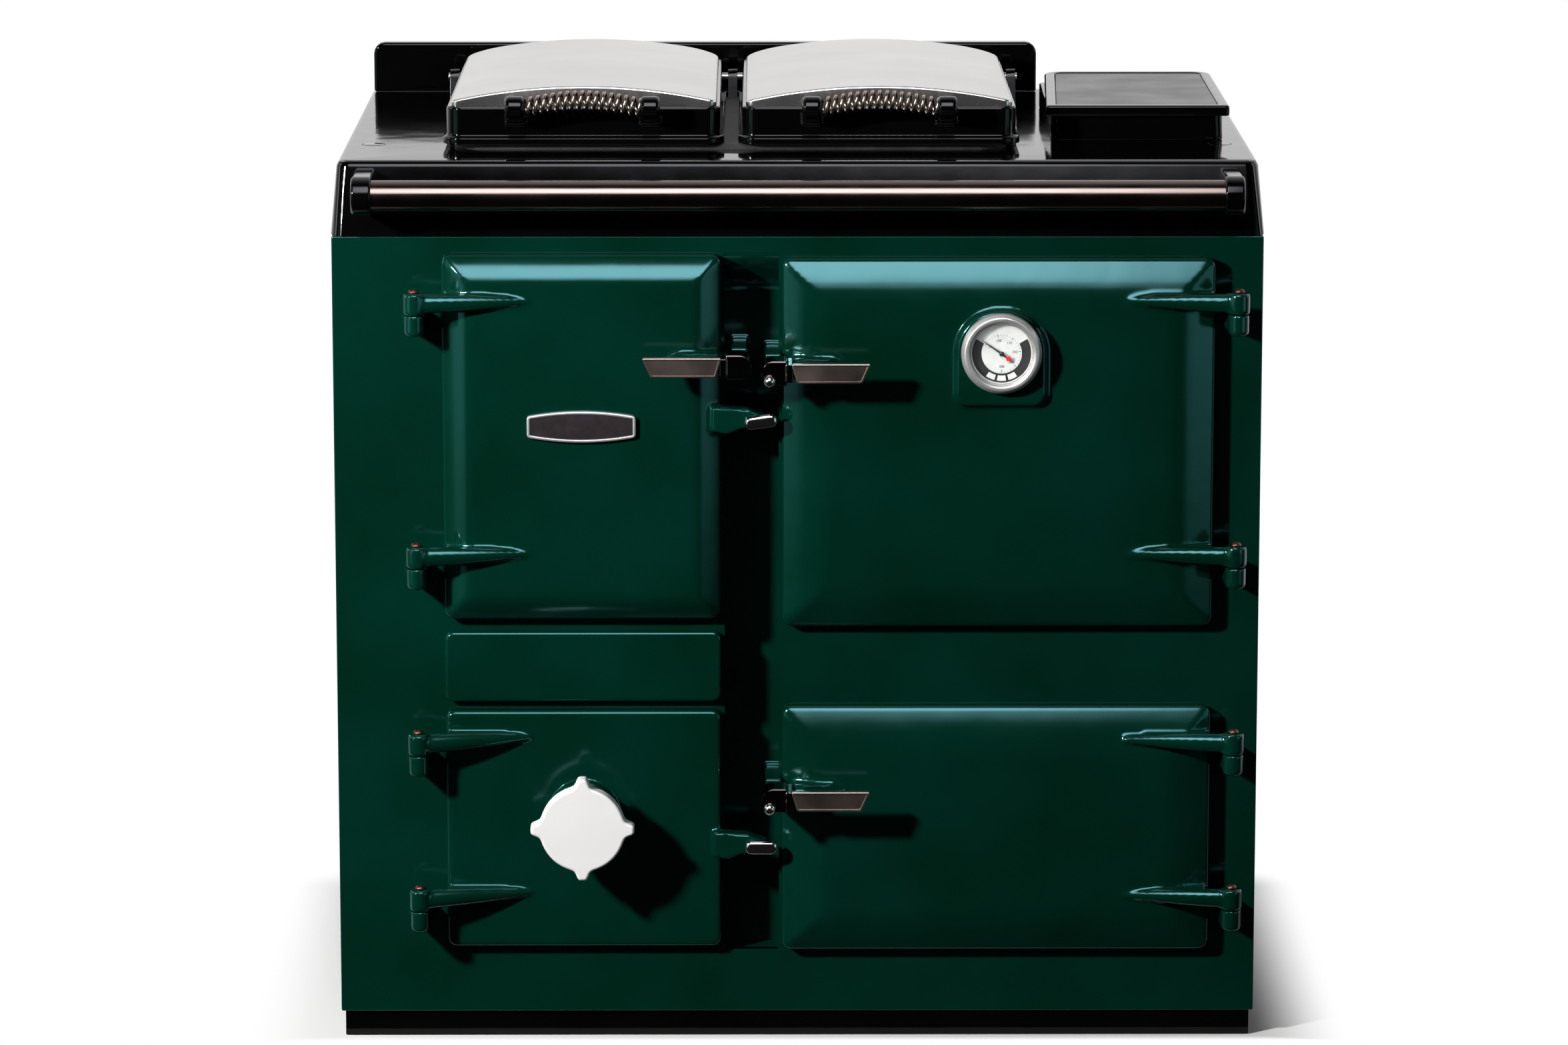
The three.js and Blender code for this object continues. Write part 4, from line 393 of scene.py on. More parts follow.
# satin plate scatters the room into one soft grey
satin_ring = metal("satin_chromed_ring", "#cbc9c7", 0.36, None, 0.0, 20, 0.65)
satin_lever = metal("satin_chromed_lever", "#a08f87", 0.3, (0.05, 1.0, 1.0), 0.00004)
# chrome whose colour is darkened as painted shade, so that a lever's hub stays nearly black beside its
# blade
chrome_darkened_as_shade = metal("black_nickel_plate", "#4d4442", 0.12)
chrome_plate = metal("chrome_plated_casting", "#c4bfbd", 0.13)
# brushed along its length, so each lamp becomes one long bright line
brushed_bar = metal("brushed_stainless_bar", "#5f544f", 0.17, (0.02, 1.0, 1.0), 0.00006)
polished_cover = metal("polished_stainless_cover", "#c8c5c2", 0.24, (1.0, 0.03, 1.0), 0.00003, 160)
spring_wire = metal("bright_spring_wire", "#94857c", 0.2)
# the copper flash on the pins has gone brown and dull
coppered_pin = metal("coppered_steel_pin", "#5c3d34", 0.36, None, 0.0, 6)
zinc_sheet = metal("galvanised_sheet", "#8b8e90", 0.45, None, 0.0, 18)
oven_steel = metal("satin_oven_steel", "#a9a39e", 0.34, (0.05, 1.0, 1.0), 0.00005)


# %% [markdown]
# Cast iron inside the fire and the ovens is stove-blacked: a dull grey-black skin over the texture
# that the sand mould left. Fire brick is a coarse pale clay with dark specks. Both are rough.


# %% Rough mineral surfaces
def gritty(name, dark, light, grit, depth, roughness, metallic=0.0):
    """A matt, grainy surface whose grit is that many millimetres across."""
    material, tree, output = new_material(name)
    where = add(tree, "ShaderNodeTexCoord").outputs["Object"]
    cloud = lumps(tree, where, grit * 14, 4.0)
    tone = add(tree, "ShaderNodeValToRGB", None, {"Fac": cloud.outputs["Fac"]})
    tone.color_ramp.elements[0].position = 0.3
    tone.color_ramp.elements[1].position = 0.7
    tone.color_ramp.elements[0].color = linear(dark)
    tone.color_ramp.elements[1].color = linear(light)
    grain = lumps(tree, where, grit, 3.0)
    rise = add(
        tree, "ShaderNodeBump", None, {"Height": grain.outputs["Fac"]}, Strength=0.8, Distance=depth
    )
    links = {"Base Color": tone.outputs["Color"], "Normal": rise.outputs["Normal"]}
    skin = add(tree, "ShaderNodeBsdfPrincipled", None, links, Roughness=roughness, Metallic=metallic)
    tree.links.new(skin.outputs["BSDF"], output.inputs["Surface"])
    print(f"{name}: grit {grit} mm")
    return material


blacked_iron = gritty("stove_blacked_cast_iron", "#1b1a1a", "#302e2c", 1.6, 0.0004, 0.62, 0.3)
fire_clay = gritty("fire_brick_clay", "#8f7454", "#c2a883", 3.0, 0.0008, 0.92)
# paint and printing ink: the grit is so fine that it only takes the mirror off
dial_print = gritty("dial_black_print", "#121112", "#1a191a", 0.4, 0.00002, 0.45)
dial_face_paint = gritty("dial_white_paint", "#b4b2af", "#c0beba", 0.5, 0.00002, 0.5)
needle_red = gritty("needle_red_paint", "#a3161a", "#b81c1f", 0.4, 0.00002, 0.4)
badge_ground = gritty("badge_dark_enamel", "#231d20", "#2f272b", 0.6, 0.00003, 0.35)

# %% [markdown]
# The thermometer's window is float glass, poured flat on molten tin: clear and smooth on both sides. A
# shadow ray passes through it as if it weren't there, so that the dial under it is lit.

# %% Window glass
glass_pane, tree, output = new_material("float_glass")
pane = add(
    tree, "ShaderNodeBsdfPrincipled", None, None, Roughness=0.01, IOR=1.5, Transmission_Weight=1.0
)
pane.inputs["Base Color"].default_value = (0.96, 0.98, 0.97, 1)
clear = add(tree, "ShaderNodeBsdfTransparent")
passing = add(tree, "ShaderNodeLightPath")
blend = {0: passing.outputs["Is Shadow Ray"], 1: pane.outputs["BSDF"], 2: clear.outputs["BSDF"]}
thin = add(tree, "ShaderNodeMixShader", None, blend)
tree.links.new(thin.outputs["Shader"], output.inputs["Surface"])
print("finishes so far:", len(bpy.data.materials))

# %% [markdown]
# ## What stays from the frame
# Many CAD pieces already have the right shape: sheet panels, castings inside the fire and ovens, the
# hotplate. They keep their meshes and get the finish of the real thing. Real castings and sheets have
# no knife edges, so a small bevel and smooth shading are laid over them as modifiers.

# %% Softened edges
KEPT_SMOOTH = math.radians(38)  # where two faces meet more gently than this, they shade as one
weld_kept, entry = socket_tree("weld_and_smooth")
weld = add(
    weld_kept, "GeometryNodeMergeByDistance", None, {"Geometry": entry["Geometry"]}, Distance=1e-6
)
welded = {"Geometry": weld.outputs["Geometry"]}
plain = add(weld_kept, "GeometryNodeRemoveAttribute", None, welded, Name="custom_normal")
add(weld_kept, "NodeGroupOutput", None, {"Geometry": plain.outputs["Geometry"]})

shade, entry = socket_tree("smooth_by_angle")
turn = add(shade, "GeometryNodeInputMeshEdgeAngle")
angle = {0: turn.outputs["Unsigned Angle"]}
gentle = add(shade, "FunctionNodeCompare", {"operation": "LESS_EQUAL"}, angle, B=KEPT_SMOOTH)
whole = {"Geometry": entry["Geometry"]}
faces = add(shade, "GeometryNodeSetShadeSmooth", {"domain": "FACE"}, whole)
split = {"Geometry": faces.outputs["Geometry"], "Shade Smooth": gentle.outputs["Result"]}
edges = add(shade, "GeometryNodeSetShadeSmooth", {"domain": "EDGE"}, split)
add(shade, "NodeGroupOutput", None, {"Geometry": edges.outputs["Geometry"]})


def soften(piece, width_mm):
    """Rounds a piece's edges by width_mm and shades it smooth, without touching its mesh."""
    piece.modifiers.new("weld", "NODES").node_group = weld_kept
    if width_mm:
        bevel = piece.modifiers.new("rounded_edges", "BEVEL")
        bevel.width = width_mm * MM
        bevel.segments = 2
        bevel.limit_method = "ANGLE"
        bevel.angle_limit = math.radians(35)
        bevel.harden_normals = False
    piece.modifiers.new("smooth", "NODES").node_group = shade
    flatter = piece.modifiers.new("large_faces_stay_flat", "WEIGHTED_NORMAL")
    flatter.keep_sharp = True


# %% Finishes for the frame's own pieces
KEPT = {
    "side_panel_left": (green_enamel, 0.8),
    "side_panel_right": (green_enamel, 0.8),
    "base_tray": (black_enamel, 1.0),
    "back_panel": (zinc_sheet, 0.5),
    "top_plate": (black_enamel, 1.2),
    "plug_cap_left": (black_enamel, 1.2),
    "plug_cap_right": (black_enamel, 1.2),
    "upstand": (black_enamel, 1.0),
    "lid_hinge_rod": (oven_steel, 0.6),
    "hotplate": (blacked_iron, 0.0),
    "flue_box": (black_enamel, 1.0),
    "firebox": (blacked_iron, 1.0),
    "fire_brick_left": (fire_clay, 1.5),
    "fire_brick_right": (fire_clay, 1.5),
    "fire_brick_back": (fire_clay, 1.5),
    "bottom_grate": (blacked_iron, 1.0),
    "ashpan": (zinc_sheet, 0.4),
    "main_oven": (blacked_iron, 1.0),
    "lower_oven": (blacked_iron, 1.0),
    "main_oven_shelf": (chrome_plate, 0.0),
    "lower_oven_shelf": (chrome_plate, 0.0),
    "fire_door_baffle": (blacked_iron, 2.0),
    "main_oven_door_liner": (oven_steel, 2.0),
    "lower_oven_door_liner": (oven_steel, 2.0),
    "air_spindle": (oven_steel, 0.3),
}  # each node's finish, and how far its edges are rounded in mm

for node, (coat, edge_mm) in KEPT.items():
    piece = frame["nodes"][node]
    if not piece.material_slots:
        piece.data.materials.append(None)
    for material_slot in piece.material_slots:
        material_slot.material = coat
    soften(piece, edge_mm)
print("pieces kept from the frame:", len(KEPT))

# %% [markdown]
# ## Shapes in millimetres
# The sizes of a cooker are whole millimetres, so the pieces are drawn in them. An outline is a list of
# 2-D points, and a plane function turns an outline and a level into points of the cooker. A closed
# shell is a row of rings with a cap at each end, which covers plates, rods, cones and castings alike.


# %% Points and outlines
def front(x, z, out):
    """Seen from the front: x to the right, z above the floor, out towards the cook."""
    return Vector((x, FACE_Y - out, z)) * MM


def plan(x, y, z):
    """Seen from above: y is positive towards the wall, from the middle of the cooker."""
    return Vector((x, y, z)) * MM


def beside(out, z, x):
    """Seen from the right: out in front of the front plate, z above the floor."""
    return front(x, z, out)


def arc(a, b, radius, start, end, steps=8):
    """Points of an arc round (a, b), in degrees."""
    turns = [math.radians(start + (end - start) * i / steps) for i in range(steps + 1)]
    return [Vector((a + radius * math.cos(t), b + radius * math.sin(t))) for t in turns]


def circle(a, b, radius, sides=48):
    """A circle's points round (a, b), without the first one again at the end."""
    return arc(a, b, radius, 0, 360, sides)[:-1]


def round_rect(left, right, low, high, corners, steps=8):
    """Counter-clockwise; corners is one radius, or four from the lower right one on."""
    radii = corners if isinstance(corners, (list, tuple)) else [corners] * 4
    middles = [
        (right - radii[0], low + radii[0]),
        (right - radii[1], high - radii[1]),
        (left + radii[2], high - radii[2]),
        (left + radii[3], low + radii[3]),
    ]
    outline = []
    for quarter, ((a, b), radius) in enumerate(zip(middles, radii)):
        outline += arc(a, b, radius, 90 * quarter - 90, 90 * quarter, steps)
    return outline


def shrink(outline, by):
    """A counter-clockwise outline moved inwards by that much; a negative value lets it grow."""
    if not by:
        return outline
    moved = []
    for i, here in enumerate(outline):
        before = (here - outline[i - 1]).normalized()
        after = (outline[(i + 1) % len(outline)] - here).normalized()
        inwards = Vector((-before.y - after.y, before.x + after.x)).normalized()
        spread = max(inwards.dot(Vector((-before.y, before.x))), 0.4)
        moved.append(here + inwards * (by / spread))
    return moved


print("a rounded rectangle has", len(round_rect(0, 100, 0, 50, 5)), "points")


# %% Closed shells
def skin(rings, loop=False):
    """Joins rings of equally many points; the ends are capped, or joined to each other in a loop."""
    count = len(rings[0])
    points = [point for ring in rings for point in ring]
    faces = []
    for level in range(len(rings) if loop else len(rings) - 1):
        low, high = level * count, (level + 1) % len(rings) * count
        for i in range(count):
            j = (i + 1) % count
            faces.append((low + i, low + j, high + j, high + i))
    if not loop:
        faces.append(tuple(reversed(range(count))))
        faces.append(tuple(range(len(points) - count, len(points))))
    return points, faces


def quarter_round(radius, steps=4):
    """(inwards, back) pairs of a rounded edge, from the flank to the face."""
    turns = [math.radians(90 * i / steps) for i in range(1, steps + 1)]
    return [(radius * (1 - math.cos(t)), radius * (1 - math.sin(t))) for t in turns]


def slab(outline, plane, low, high, low_round=0.0, high_round=0.0):
    """A plate between two levels of a plane, its edges rounded at each."""
    steps = [(by, low + back) for by, back in reversed(quarter_round(low_round))] if low_round else []
    steps += [(0, low + low_round), (0, high - high_round)]
    steps += [(by, high - back) for by, back in quarter_round(high_round)] if high_round else []
    return skin([[plane(*p, level) for p in shrink(outline, by)] for by, level in steps])


def rod(start, end, radius, sides=24, end_round=0.0):
    """A round bar between two points in metres."""
    along = (end - start).normalized()
    across = along.orthogonal().normalized()
    up = along.cross(across)
    length = (end - start).length / MM

    def ring(by, distance):
        spin = circle(0, 0, radius - by, sides)
        return [start + (along * distance + across * p.x + up * p.y) * MM for p in spin]

    ends = quarter_round(end_round) if end_round else [(0, 0)]
    rings = [ring(by, back) for by, back in reversed(ends)]
    rings += [ring(by, length - back) for by, back in ends]
    return skin(rings)


def lathe(profile, a, b, plane, sides=64, loop=False):
    """Turns (radius, level) pairs round the point (a, b) of a plane."""
    if not loop:
        return skin([[plane(*p, level) for p in circle(a, b, radius, sides)] for radius, level in profile])
    rings = []
    for i in range(sides):
        turn = 2 * math.pi * i / sides
        rings.append(
            [plane(a + r * math.cos(turn), b + r * math.sin(turn), level) for r, level in profile]
        )
    return skin(rings, loop=True)


print("a plain disc has", len(lathe([(10, 0), (10, 2)], 0, 0, plan)[0]), "points")


# %% Meshes and modifiers
def build(name, *shells):
    """One object from closed shells, every shell's faces turned outwards."""
    shape = bmesh.new()
    for points, faces in shells:
        corners = [shape.verts.new(point) for point in points]
        made = [shape.faces.new([corners[i] for i in face]) for face in faces]
        bmesh.ops.recalc_face_normals(shape, faces=made)
        bmesh.ops.remove_doubles(shape, verts=corners, dist=1e-7)
    mesh = bpy.data.meshes.new(name)
    shape.to_mesh(mesh)
    shape.free()
    thing = bpy.data.objects.new(name, mesh)
    bpy.context.scene.collection.objects.link(thing)
    return thing


def bake(thing):
    """Puts what the modifiers show into the object's own mesh and takes them off."""
    bpy.context.view_layer.update()
    shown = thing.evaluated_get(bpy.context.evaluated_depsgraph_get())
    mesh = bpy.data.meshes.new_from_object(shown)
    spent = thing.data
    thing.modifiers.clear()
    thing.data = mesh
    bpy.data.meshes.remove(spent)
    mesh.name = thing.name
    return thing


def bore(thing, *shells):
    """Cuts shells out of a piece, as a drill would."""
    tool = build("drill", *shells)
    hole = thing.modifiers.new("bore", "BOOLEAN")
    hole.solver = "MANIFOLD"
    hole.object = tool
    bake(thing)
    bpy.data.objects.remove(tool)
    return thing


def cast(name, shells, grain, rounds):
    """Overlapping shells run together as in a mould: grain is the mesh size, rounds softens edges."""
    thing = build(name, *shells)
    pour = thing.modifiers.new("pour", "REMESH")
    pour.mode = "VOXEL"
    pour.voxel_size = grain * MM
    fettle = thing.modifiers.new("fettle", "SMOOTH")
    fettle.factor = 0.5
    fettle.iterations = rounds
    return bake(thing)


def finish(thing, coat, body, slot, *nodes, smooth=40):
    """Paints a finished piece, smooths what isn't a corner and hands it to its body."""
    if coat:
        thing.data.materials.clear()
        thing.data.materials.append(coat)
    thing.data.polygons.foreach_set("use_smooth", [True] * len(thing.data.polygons))
    thing.data.set_sharp_from_angle(angle=math.radians(smooth))
    flatter = thing.modifiers.new("large_faces_stay_flat", "WEIGHTED_NORMAL")
    flatter.keep_sharp = True
    bake(thing)
    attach(thing, body)
    if nodes:
        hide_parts(*nodes)
    print(f"{thing.name}: {len(thing.data.polygons)} faces")
    return thing


# %% [markdown]
# ## Doors
# Each raised door is one casting: a rim, a slope that rises in a soft curve to the field, and the arms
# of two strap hinges that run over the slope and fade into the field. In a real casting nothing meets
# at a knife edge, because sand won't hold one. So the shells are poured together into one skin and
# smoothed, and the bores are drilled afterwards, as in the foundry.

# %% Sizes of the doors
LEFT_DOORS = (-358, -77)  # left and right edges
RIGHT_DOORS = (-16, 420)
FIRE_DOOR = (*LEFT_DOORS, 441, 814)
GRATE_PANEL = (*LEFT_DOORS, 354, 427)
ASHPIT_DOOR = (*LEFT_DOORS, 98, 346)
MAIN_DOOR = (*RIGHT_DOORS, 433, 810)
LOWER_DOOR = (*RIGHT_DOORS, 95, 350)
SEAT = 0.3  # air behind a closed door
DOOR_CORNER = 9
DOOR_RIM = 15  # how far its edge stands out before the slope begins
DOOR_RISE = 14  # how far the slope rises from the rim to the field
DOOR_POCKET = 16
FIELD_OUT = DOOR_RIM + DOOR_RISE
FLAT_OUT = 15  # thickness of the ashpit door
HINGE_OUT = 45  # from the front plate to the middle of the pins
PIN_BORE = 3.8
SHAFT_BORE = 5.3
BUTTON_BORE = 4.3
LEFT_HINGE_X = -384
RIGHT_HINGE_X = 441
UPPER_HINGES = (511, 769)
LOWER_HINGES = (156, 318)
ARM_REACH = 89
LEVER_OUT = 44
SLEEVE_LENGTH = 53
FIRE_LEVER = (-78, 709, -1)  # inner end of the blade, its middle height, the way that it points
MAIN_LEVER = (-5, 703, 1)
LOWER_LEVER = (-5, 265, 1)
BUTTON_X = -37
FIRE_BUTTON_Z = 647
ASHPIT_BUTTON_Z = 207
print("main oven door:", MAIN_DOOR[1] - MAIN_DOOR[0], "by", MAIN_DOOR[3] - MAIN_DOOR[2], "mm")


# %% Shells of a door casting
def pocket_rings(liner):
    """The pocket behind a door, which holds its liner."""
    (left, _, low), (right, _, high) = [[value / MM for value in corner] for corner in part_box(liner)]
    outline = round_rect(left - SEAT, right + SEAT, low - SEAT, high + SEAT, 6)
    return [[front(*p, out) for p in outline] for out in (DOOR_POCKET + SEAT, SEAT)]


def raised_panel(frame, bevel, liner):
    """A door's plate: its rim, the slope that is bevel wide, and the flat field."""
    left, right, low, high = frame
    edge_round = 1.5
    steps = 24

    def ring(by, out):
        corner = max(DOOR_CORNER - by * 0.6, 2)
        return [
            front(*p, out + SEAT)
            for p in round_rect(left + by, right - by, low + by, high - by, corner)
        ]

    slope = []
    for i in range(steps + 1):
        rise = DOOR_RISE * math.sin(i / steps * math.pi / 2)
        slope.append(ring(edge_round + bevel * i / steps, DOOR_RIM + rise))
    rim = [ring(0.8, 0), ring(0, 0.8), ring(0, DOOR_RIM - edge_round)]
    return skin(pocket_rings(liner) + rim + slope)


def hinge_arm(hinge_x, edge, z, face_out, inwards):
    """The door's side of a hinge: knuckle, web and the arm that tapers away over the face."""
    tip = edge + inwards * ARM_REACH
    sections = []
    for i in range(17):
        share = i / 16
        x = hinge_x + (tip - hinge_x) * share
        out = HINGE_OUT + (face_out - 1 - HINGE_OUT) * share
        high = 10 - 7.5 * share**2
        deep = 9 - 7 * share**2
        sections.append([front(x, z + high * p.y, out + deep * p.x) for p in circle(0, 0, 1, 24)])
    web = [
        Vector((edge + inwards * 3, FACE_Y - 4)),
        Vector((edge + inwards * 3, FACE_Y - HINGE_OUT + 6)),
        Vector((tip - inwards * 20, FACE_Y - face_out)),
        Vector((tip - inwards * 20, FACE_Y - 4)),
    ]
    knuckle = slab(circle(hinge_x, FACE_Y - HINGE_OUT, 11), plan, z - 11, z + 11, 0.6, 1.5)
    return [skin(sections), slab(web, plan, z - 6, z + 6), knuckle]


def lever_sleeve(lever, face_out):
    """The boss that a lever's shaft turns in; it fades into the door's field."""
    blade_x, z, way = lever
    start = blade_x + way * SEAT
    sections = []
    for i in range(14):
        share = max(0, (i - 3) / 10)
        radius = 11 - 7 * share
        out = LEVER_OUT + (face_out - 2 - LEVER_OUT) * share
        x = start + way * SLEEVE_LENGTH * i / 13
        sections.append([front(x, z + p.y, out + p.x) for p in circle(0, 0, radius, 24)])
    root = [
        Vector((start, FACE_Y - 8)),
        Vector((start, FACE_Y - LEVER_OUT)),
        Vector((start + way * SLEEVE_LENGTH * 0.4, FACE_Y - LEVER_OUT)),
        Vector((start + way * SLEEVE_LENGTH * 0.85, FACE_Y - face_out)),
        Vector((start + way * SLEEVE_LENGTH * 0.85, FACE_Y - 8)),
    ]
    return [skin(sections), slab(root, plan, z - 7.7, z + 7.7)]


def button_lug(z):
    """The lug at the edge of a left door that carries its turn-button."""
    edge = LEFT_DOORS[1]
    outline = [
        Vector((edge - 9, z - 11.2)),
        Vector((edge + 6.7, z - 14)),
        Vector((edge + 20, z - 8.4)),
        *arc(BUTTON_X, z, 7, -70, 90, 12),
        Vector((edge + 27, z + 11.9)),
        Vector((edge - 9, z + 14)),
    ]
    return slab(outline, front, 6, 27.7, 0, 1.5)


def hinge_bores(hinge_x, heights):
    """The holes of the pins, right through the knuckles."""
    hole = circle(hinge_x, FACE_Y - HINGE_OUT, PIN_BORE, 32)
    return [slab(hole, plan, z - 14, z + 14) for z in heights]


def lever_bore(lever):
    """The hole of a lever's shaft, in the end of its boss."""
    blade_x, z, way = lever
    mouth, bottom = (front(blade_x + way * t, z, LEVER_OUT) for t in (-1, 25))
    return rod(mouth, bottom, SHAFT_BORE, 32)


def button_bore(z):
    """The hole of a turn-button's stem."""
    return rod(front(BUTTON_X, z, 29), front(BUTTON_X, z, 10), BUTTON_BORE, 32)


# %% Oven doors and fire door
def raised_door(name, frame, bevel, hinge_x, heights, lever, grain, extra=(), extra_bores=()):
    """One whole door casting, with its bores."""
    left, right = frame[:2]
    edge, inwards = (left, 1) if hinge_x < left else (right, -1)
    liner = f"{name}_liner" if "oven" in name else f"{name}_baffle"
    shells = [raised_panel(frame, bevel, liner)]
    for z in heights:
        shells += hinge_arm(hinge_x, edge, z, FIELD_OUT, inwards)
    shells += [*lever_sleeve(lever, FIELD_OUT), *extra]
    casting = cast(f"{name}_casting", shells, grain, 6)
    bore(casting, *hinge_bores(hinge_x, heights), lever_bore(lever), *extra_bores)
    return casting


# the thermometer's boss: (outwards, out) steps from its foot in the field to its face
GAUGE_X = 204
GAUGE_Z = 718
BOSS_HALF = 45
BOSS_DOWN = 55
BOSS_UP = 41.5
BOSS_OUT = 37
boss_steps = [(3, FIELD_OUT - 2), (1, FIELD_OUT + 1), (0, BOSS_OUT - 2), (-1.5, BOSS_OUT)]
boss_rings = []
for grown, out in boss_steps:
    wide = BOSS_HALF + grown
    shoulder = 41 + grown
    outline = round_rect(
        GAUGE_X - wide,
        GAUGE_X + wide,
        GAUGE_Z - BOSS_DOWN - grown,
        GAUGE_Z + BOSS_UP + grown,
        [12, shoulder, shoulder, 12],
        16,
    )
    boss_rings.append([front(*p, out) for p in outline])
gauge_boss = skin(boss_rings)

main_door = raised_door(
    "main_oven_door", MAIN_DOOR, 50, RIGHT_HINGE_X, UPPER_HINGES, MAIN_LEVER, 2.2, [gauge_boss]
)
finish(main_door, green_enamel, "main_oven_leaf", "green_enamel", "main_oven_door")
lower_door = raised_door(
    "lower_oven_door", LOWER_DOOR, 50, RIGHT_HINGE_X, LOWER_HINGES, LOWER_LEVER, 1.9
)
finish(lower_door, green_enamel, "lower_oven_leaf", "green_enamel", "lower_oven_door")
fire_lug, fire_bore = button_lug(FIRE_BUTTON_Z), button_bore(FIRE_BUTTON_Z)
fire_door = raised_door(
    "fire_door", FIRE_DOOR, 30, LEFT_HINGE_X, UPPER_HINGES, FIRE_LEVER, 1.9, [fire_lug], [fire_bore]
)
finish(fire_door, green_enamel, "fire_door_leaf", "green_enamel", "fire_door")


# %% [markdown]
# The ashpit door and the grate panel are flat castings with a rounded edge. The ashpit door carries a
# round collar whose bore lets the air in, and a three-armed spider that the wheel's spindle turns in.

# %% Ashpit door and grate panel
WHEEL_X = -217.5
WHEEL_Z = 237
COLLAR_RADIUS = 36
AIRWAY_RADIUS = 31
COLLAR_OUT = 60


def flat_panel(frame, thick, edge=5):
    """A flat plate whose front edge is rounded."""
    left, right, low, high = frame
    outline = round_rect(left, right, low, high, DOOR_CORNER)
    return slab(outline, front, SEAT, thick + SEAT, 0.8, edge)


ashpit_shells = [flat_panel(ASHPIT_DOOR, FLAT_OUT), button_lug(ASHPIT_BUTTON_Z)]
ashpit_shells += [slab(circle(WHEEL_X, WHEEL_Z, COLLAR_RADIUS, 72), front, 3, COLLAR_OUT, 0, 1.5)]
for z in LOWER_HINGES:
    ashpit_shells += hinge_arm(LEFT_HINGE_X, LEFT_DOORS[0], z, FLAT_OUT, 1)
ashpit_door = cast("ashpit_door_casting", ashpit_shells, 1.8, 6)
bore(
    ashpit_door,
    *hinge_bores(LEFT_HINGE_X, LOWER_HINGES),
    slab(circle(WHEEL_X, WHEEL_Z, AIRWAY_RADIUS, 72), front, -3, COLLAR_OUT + 5),
    button_bore(ASHPIT_BUTTON_Z),
)
finish(ashpit_door, green_enamel, "ashpit_leaf", "green_enamel", "ashpit_door")

SPIDER_OUT = FLAT_OUT + 8
spider_shells = [slab(circle(WHEEL_X, WHEEL_Z, 10), front, FLAT_OUT, SPIDER_OUT)]
hub = Vector((WHEEL_X, WHEEL_Z))
for turn in (90, 210, 330):
    along = Vector((math.cos(math.radians(turn)), math.sin(math.radians(turn))))
    across = Vector((-along.y, along.x)) * 4
    tip = hub + along * (AIRWAY_RADIUS + 2)
    arm = [hub - across, tip - across, tip + across, hub + across]
    spider_shells.append(slab(arm, front, FLAT_OUT, SPIDER_OUT))
spider = cast("air_collar_spider", spider_shells, 1.0, 6)
bore(spider, slab(circle(WHEEL_X, WHEEL_Z, SHAFT_BORE, 32), front, 0, 40))
finish(spider, green_enamel, "ashpit_leaf", "green_enamel")

# %% [markdown]
# ## Front plate
# The plate is one enamelled casting with a window behind each door. Between the two columns of doors
# it folds back into a deep channel, which is why the gap looks black. Eight lugs carry the fixed halves
# of the hinges and three keepers hold the latch tongues. Each kind is modelled once, and a Geometry
# Nodes tree sets it in every place, so that a change to the lug changes all eight.


# %% Setting one piece in many places
def run_tree(thing, tree, **inputs):
    """Runs the tree on a piece with these inputs and bakes what it makes."""
    modifier = thing.modifiers.new(tree.name, "NODES")
    modifier.node_group = tree
    for label, value in inputs.items():
        modifier[tree.interface.items_tree[label.replace("_", " ")].identifier] = value
    return bake(thing)


in_places, entry = socket_tree("set_in_places", ("Pattern", "Object"), ("Finish", "Material"))
pattern = add(in_places, "GeometryNodeObjectInfo", None, {"Object": entry["Pattern"]})
turn = add(in_places, "GeometryNodeInputNamedAttribute", {"data_type": "FLOAT_VECTOR"}, Name="turn")
spin = add(in_places, "FunctionNodeEulerToRotation", None, {0: turn.outputs["Attribute"]})
set_links = {
    "Points": entry["Geometry"],
    "Instance": pattern.outputs["Geometry"],
    "Rotation": spin.outputs["Rotation"],
}
set_down = add(in_places, "GeometryNodeInstanceOnPoints", None, set_links)
real = add(in_places, "GeometryNodeRealizeInstances", None, {0: set_down.outputs["Instances"]})
coated = {0: real.outputs[0], "Material": entry["Finish"]}
painted = add(in_places, "GeometryNodeSetMaterial", None, coated)
add(in_places, "NodeGroupOutput", None, {0: painted.outputs[0]})


def repeat(name, pattern, coat, places, turns=None):
    """The pattern, drawn round the origin, at each of the places, with an Euler turn for each."""
    mesh = bpy.data.meshes.new(name)
    mesh.from_pydata(places, [], [])
    spins = mesh.attributes.new("turn", "FLOAT_VECTOR", "POINT")
    for spin, value in zip(spins.data, turns or [(0, 0, 0)] * len(places)):
        spin.vector = value
    row = bpy.data.objects.new(name, mesh)
    bpy.context.scene.collection.objects.link(row)
    run_tree(row, in_places, Pattern=pattern, Finish=coat)
    bpy.data.objects.remove(pattern)
    return row


def together(name, *things):
    """One object from several finished meshes."""
    shape = bmesh.new()
    for thing in things:
        shape.from_mesh(thing.data)
        bpy.data.objects.remove(thing)
    mesh = bpy.data.meshes.new(name)
    shape.to_mesh(mesh)
    shape.free()
    whole = bpy.data.objects.new(name, mesh)
    bpy.context.scene.collection.objects.link(whole)
    return whole


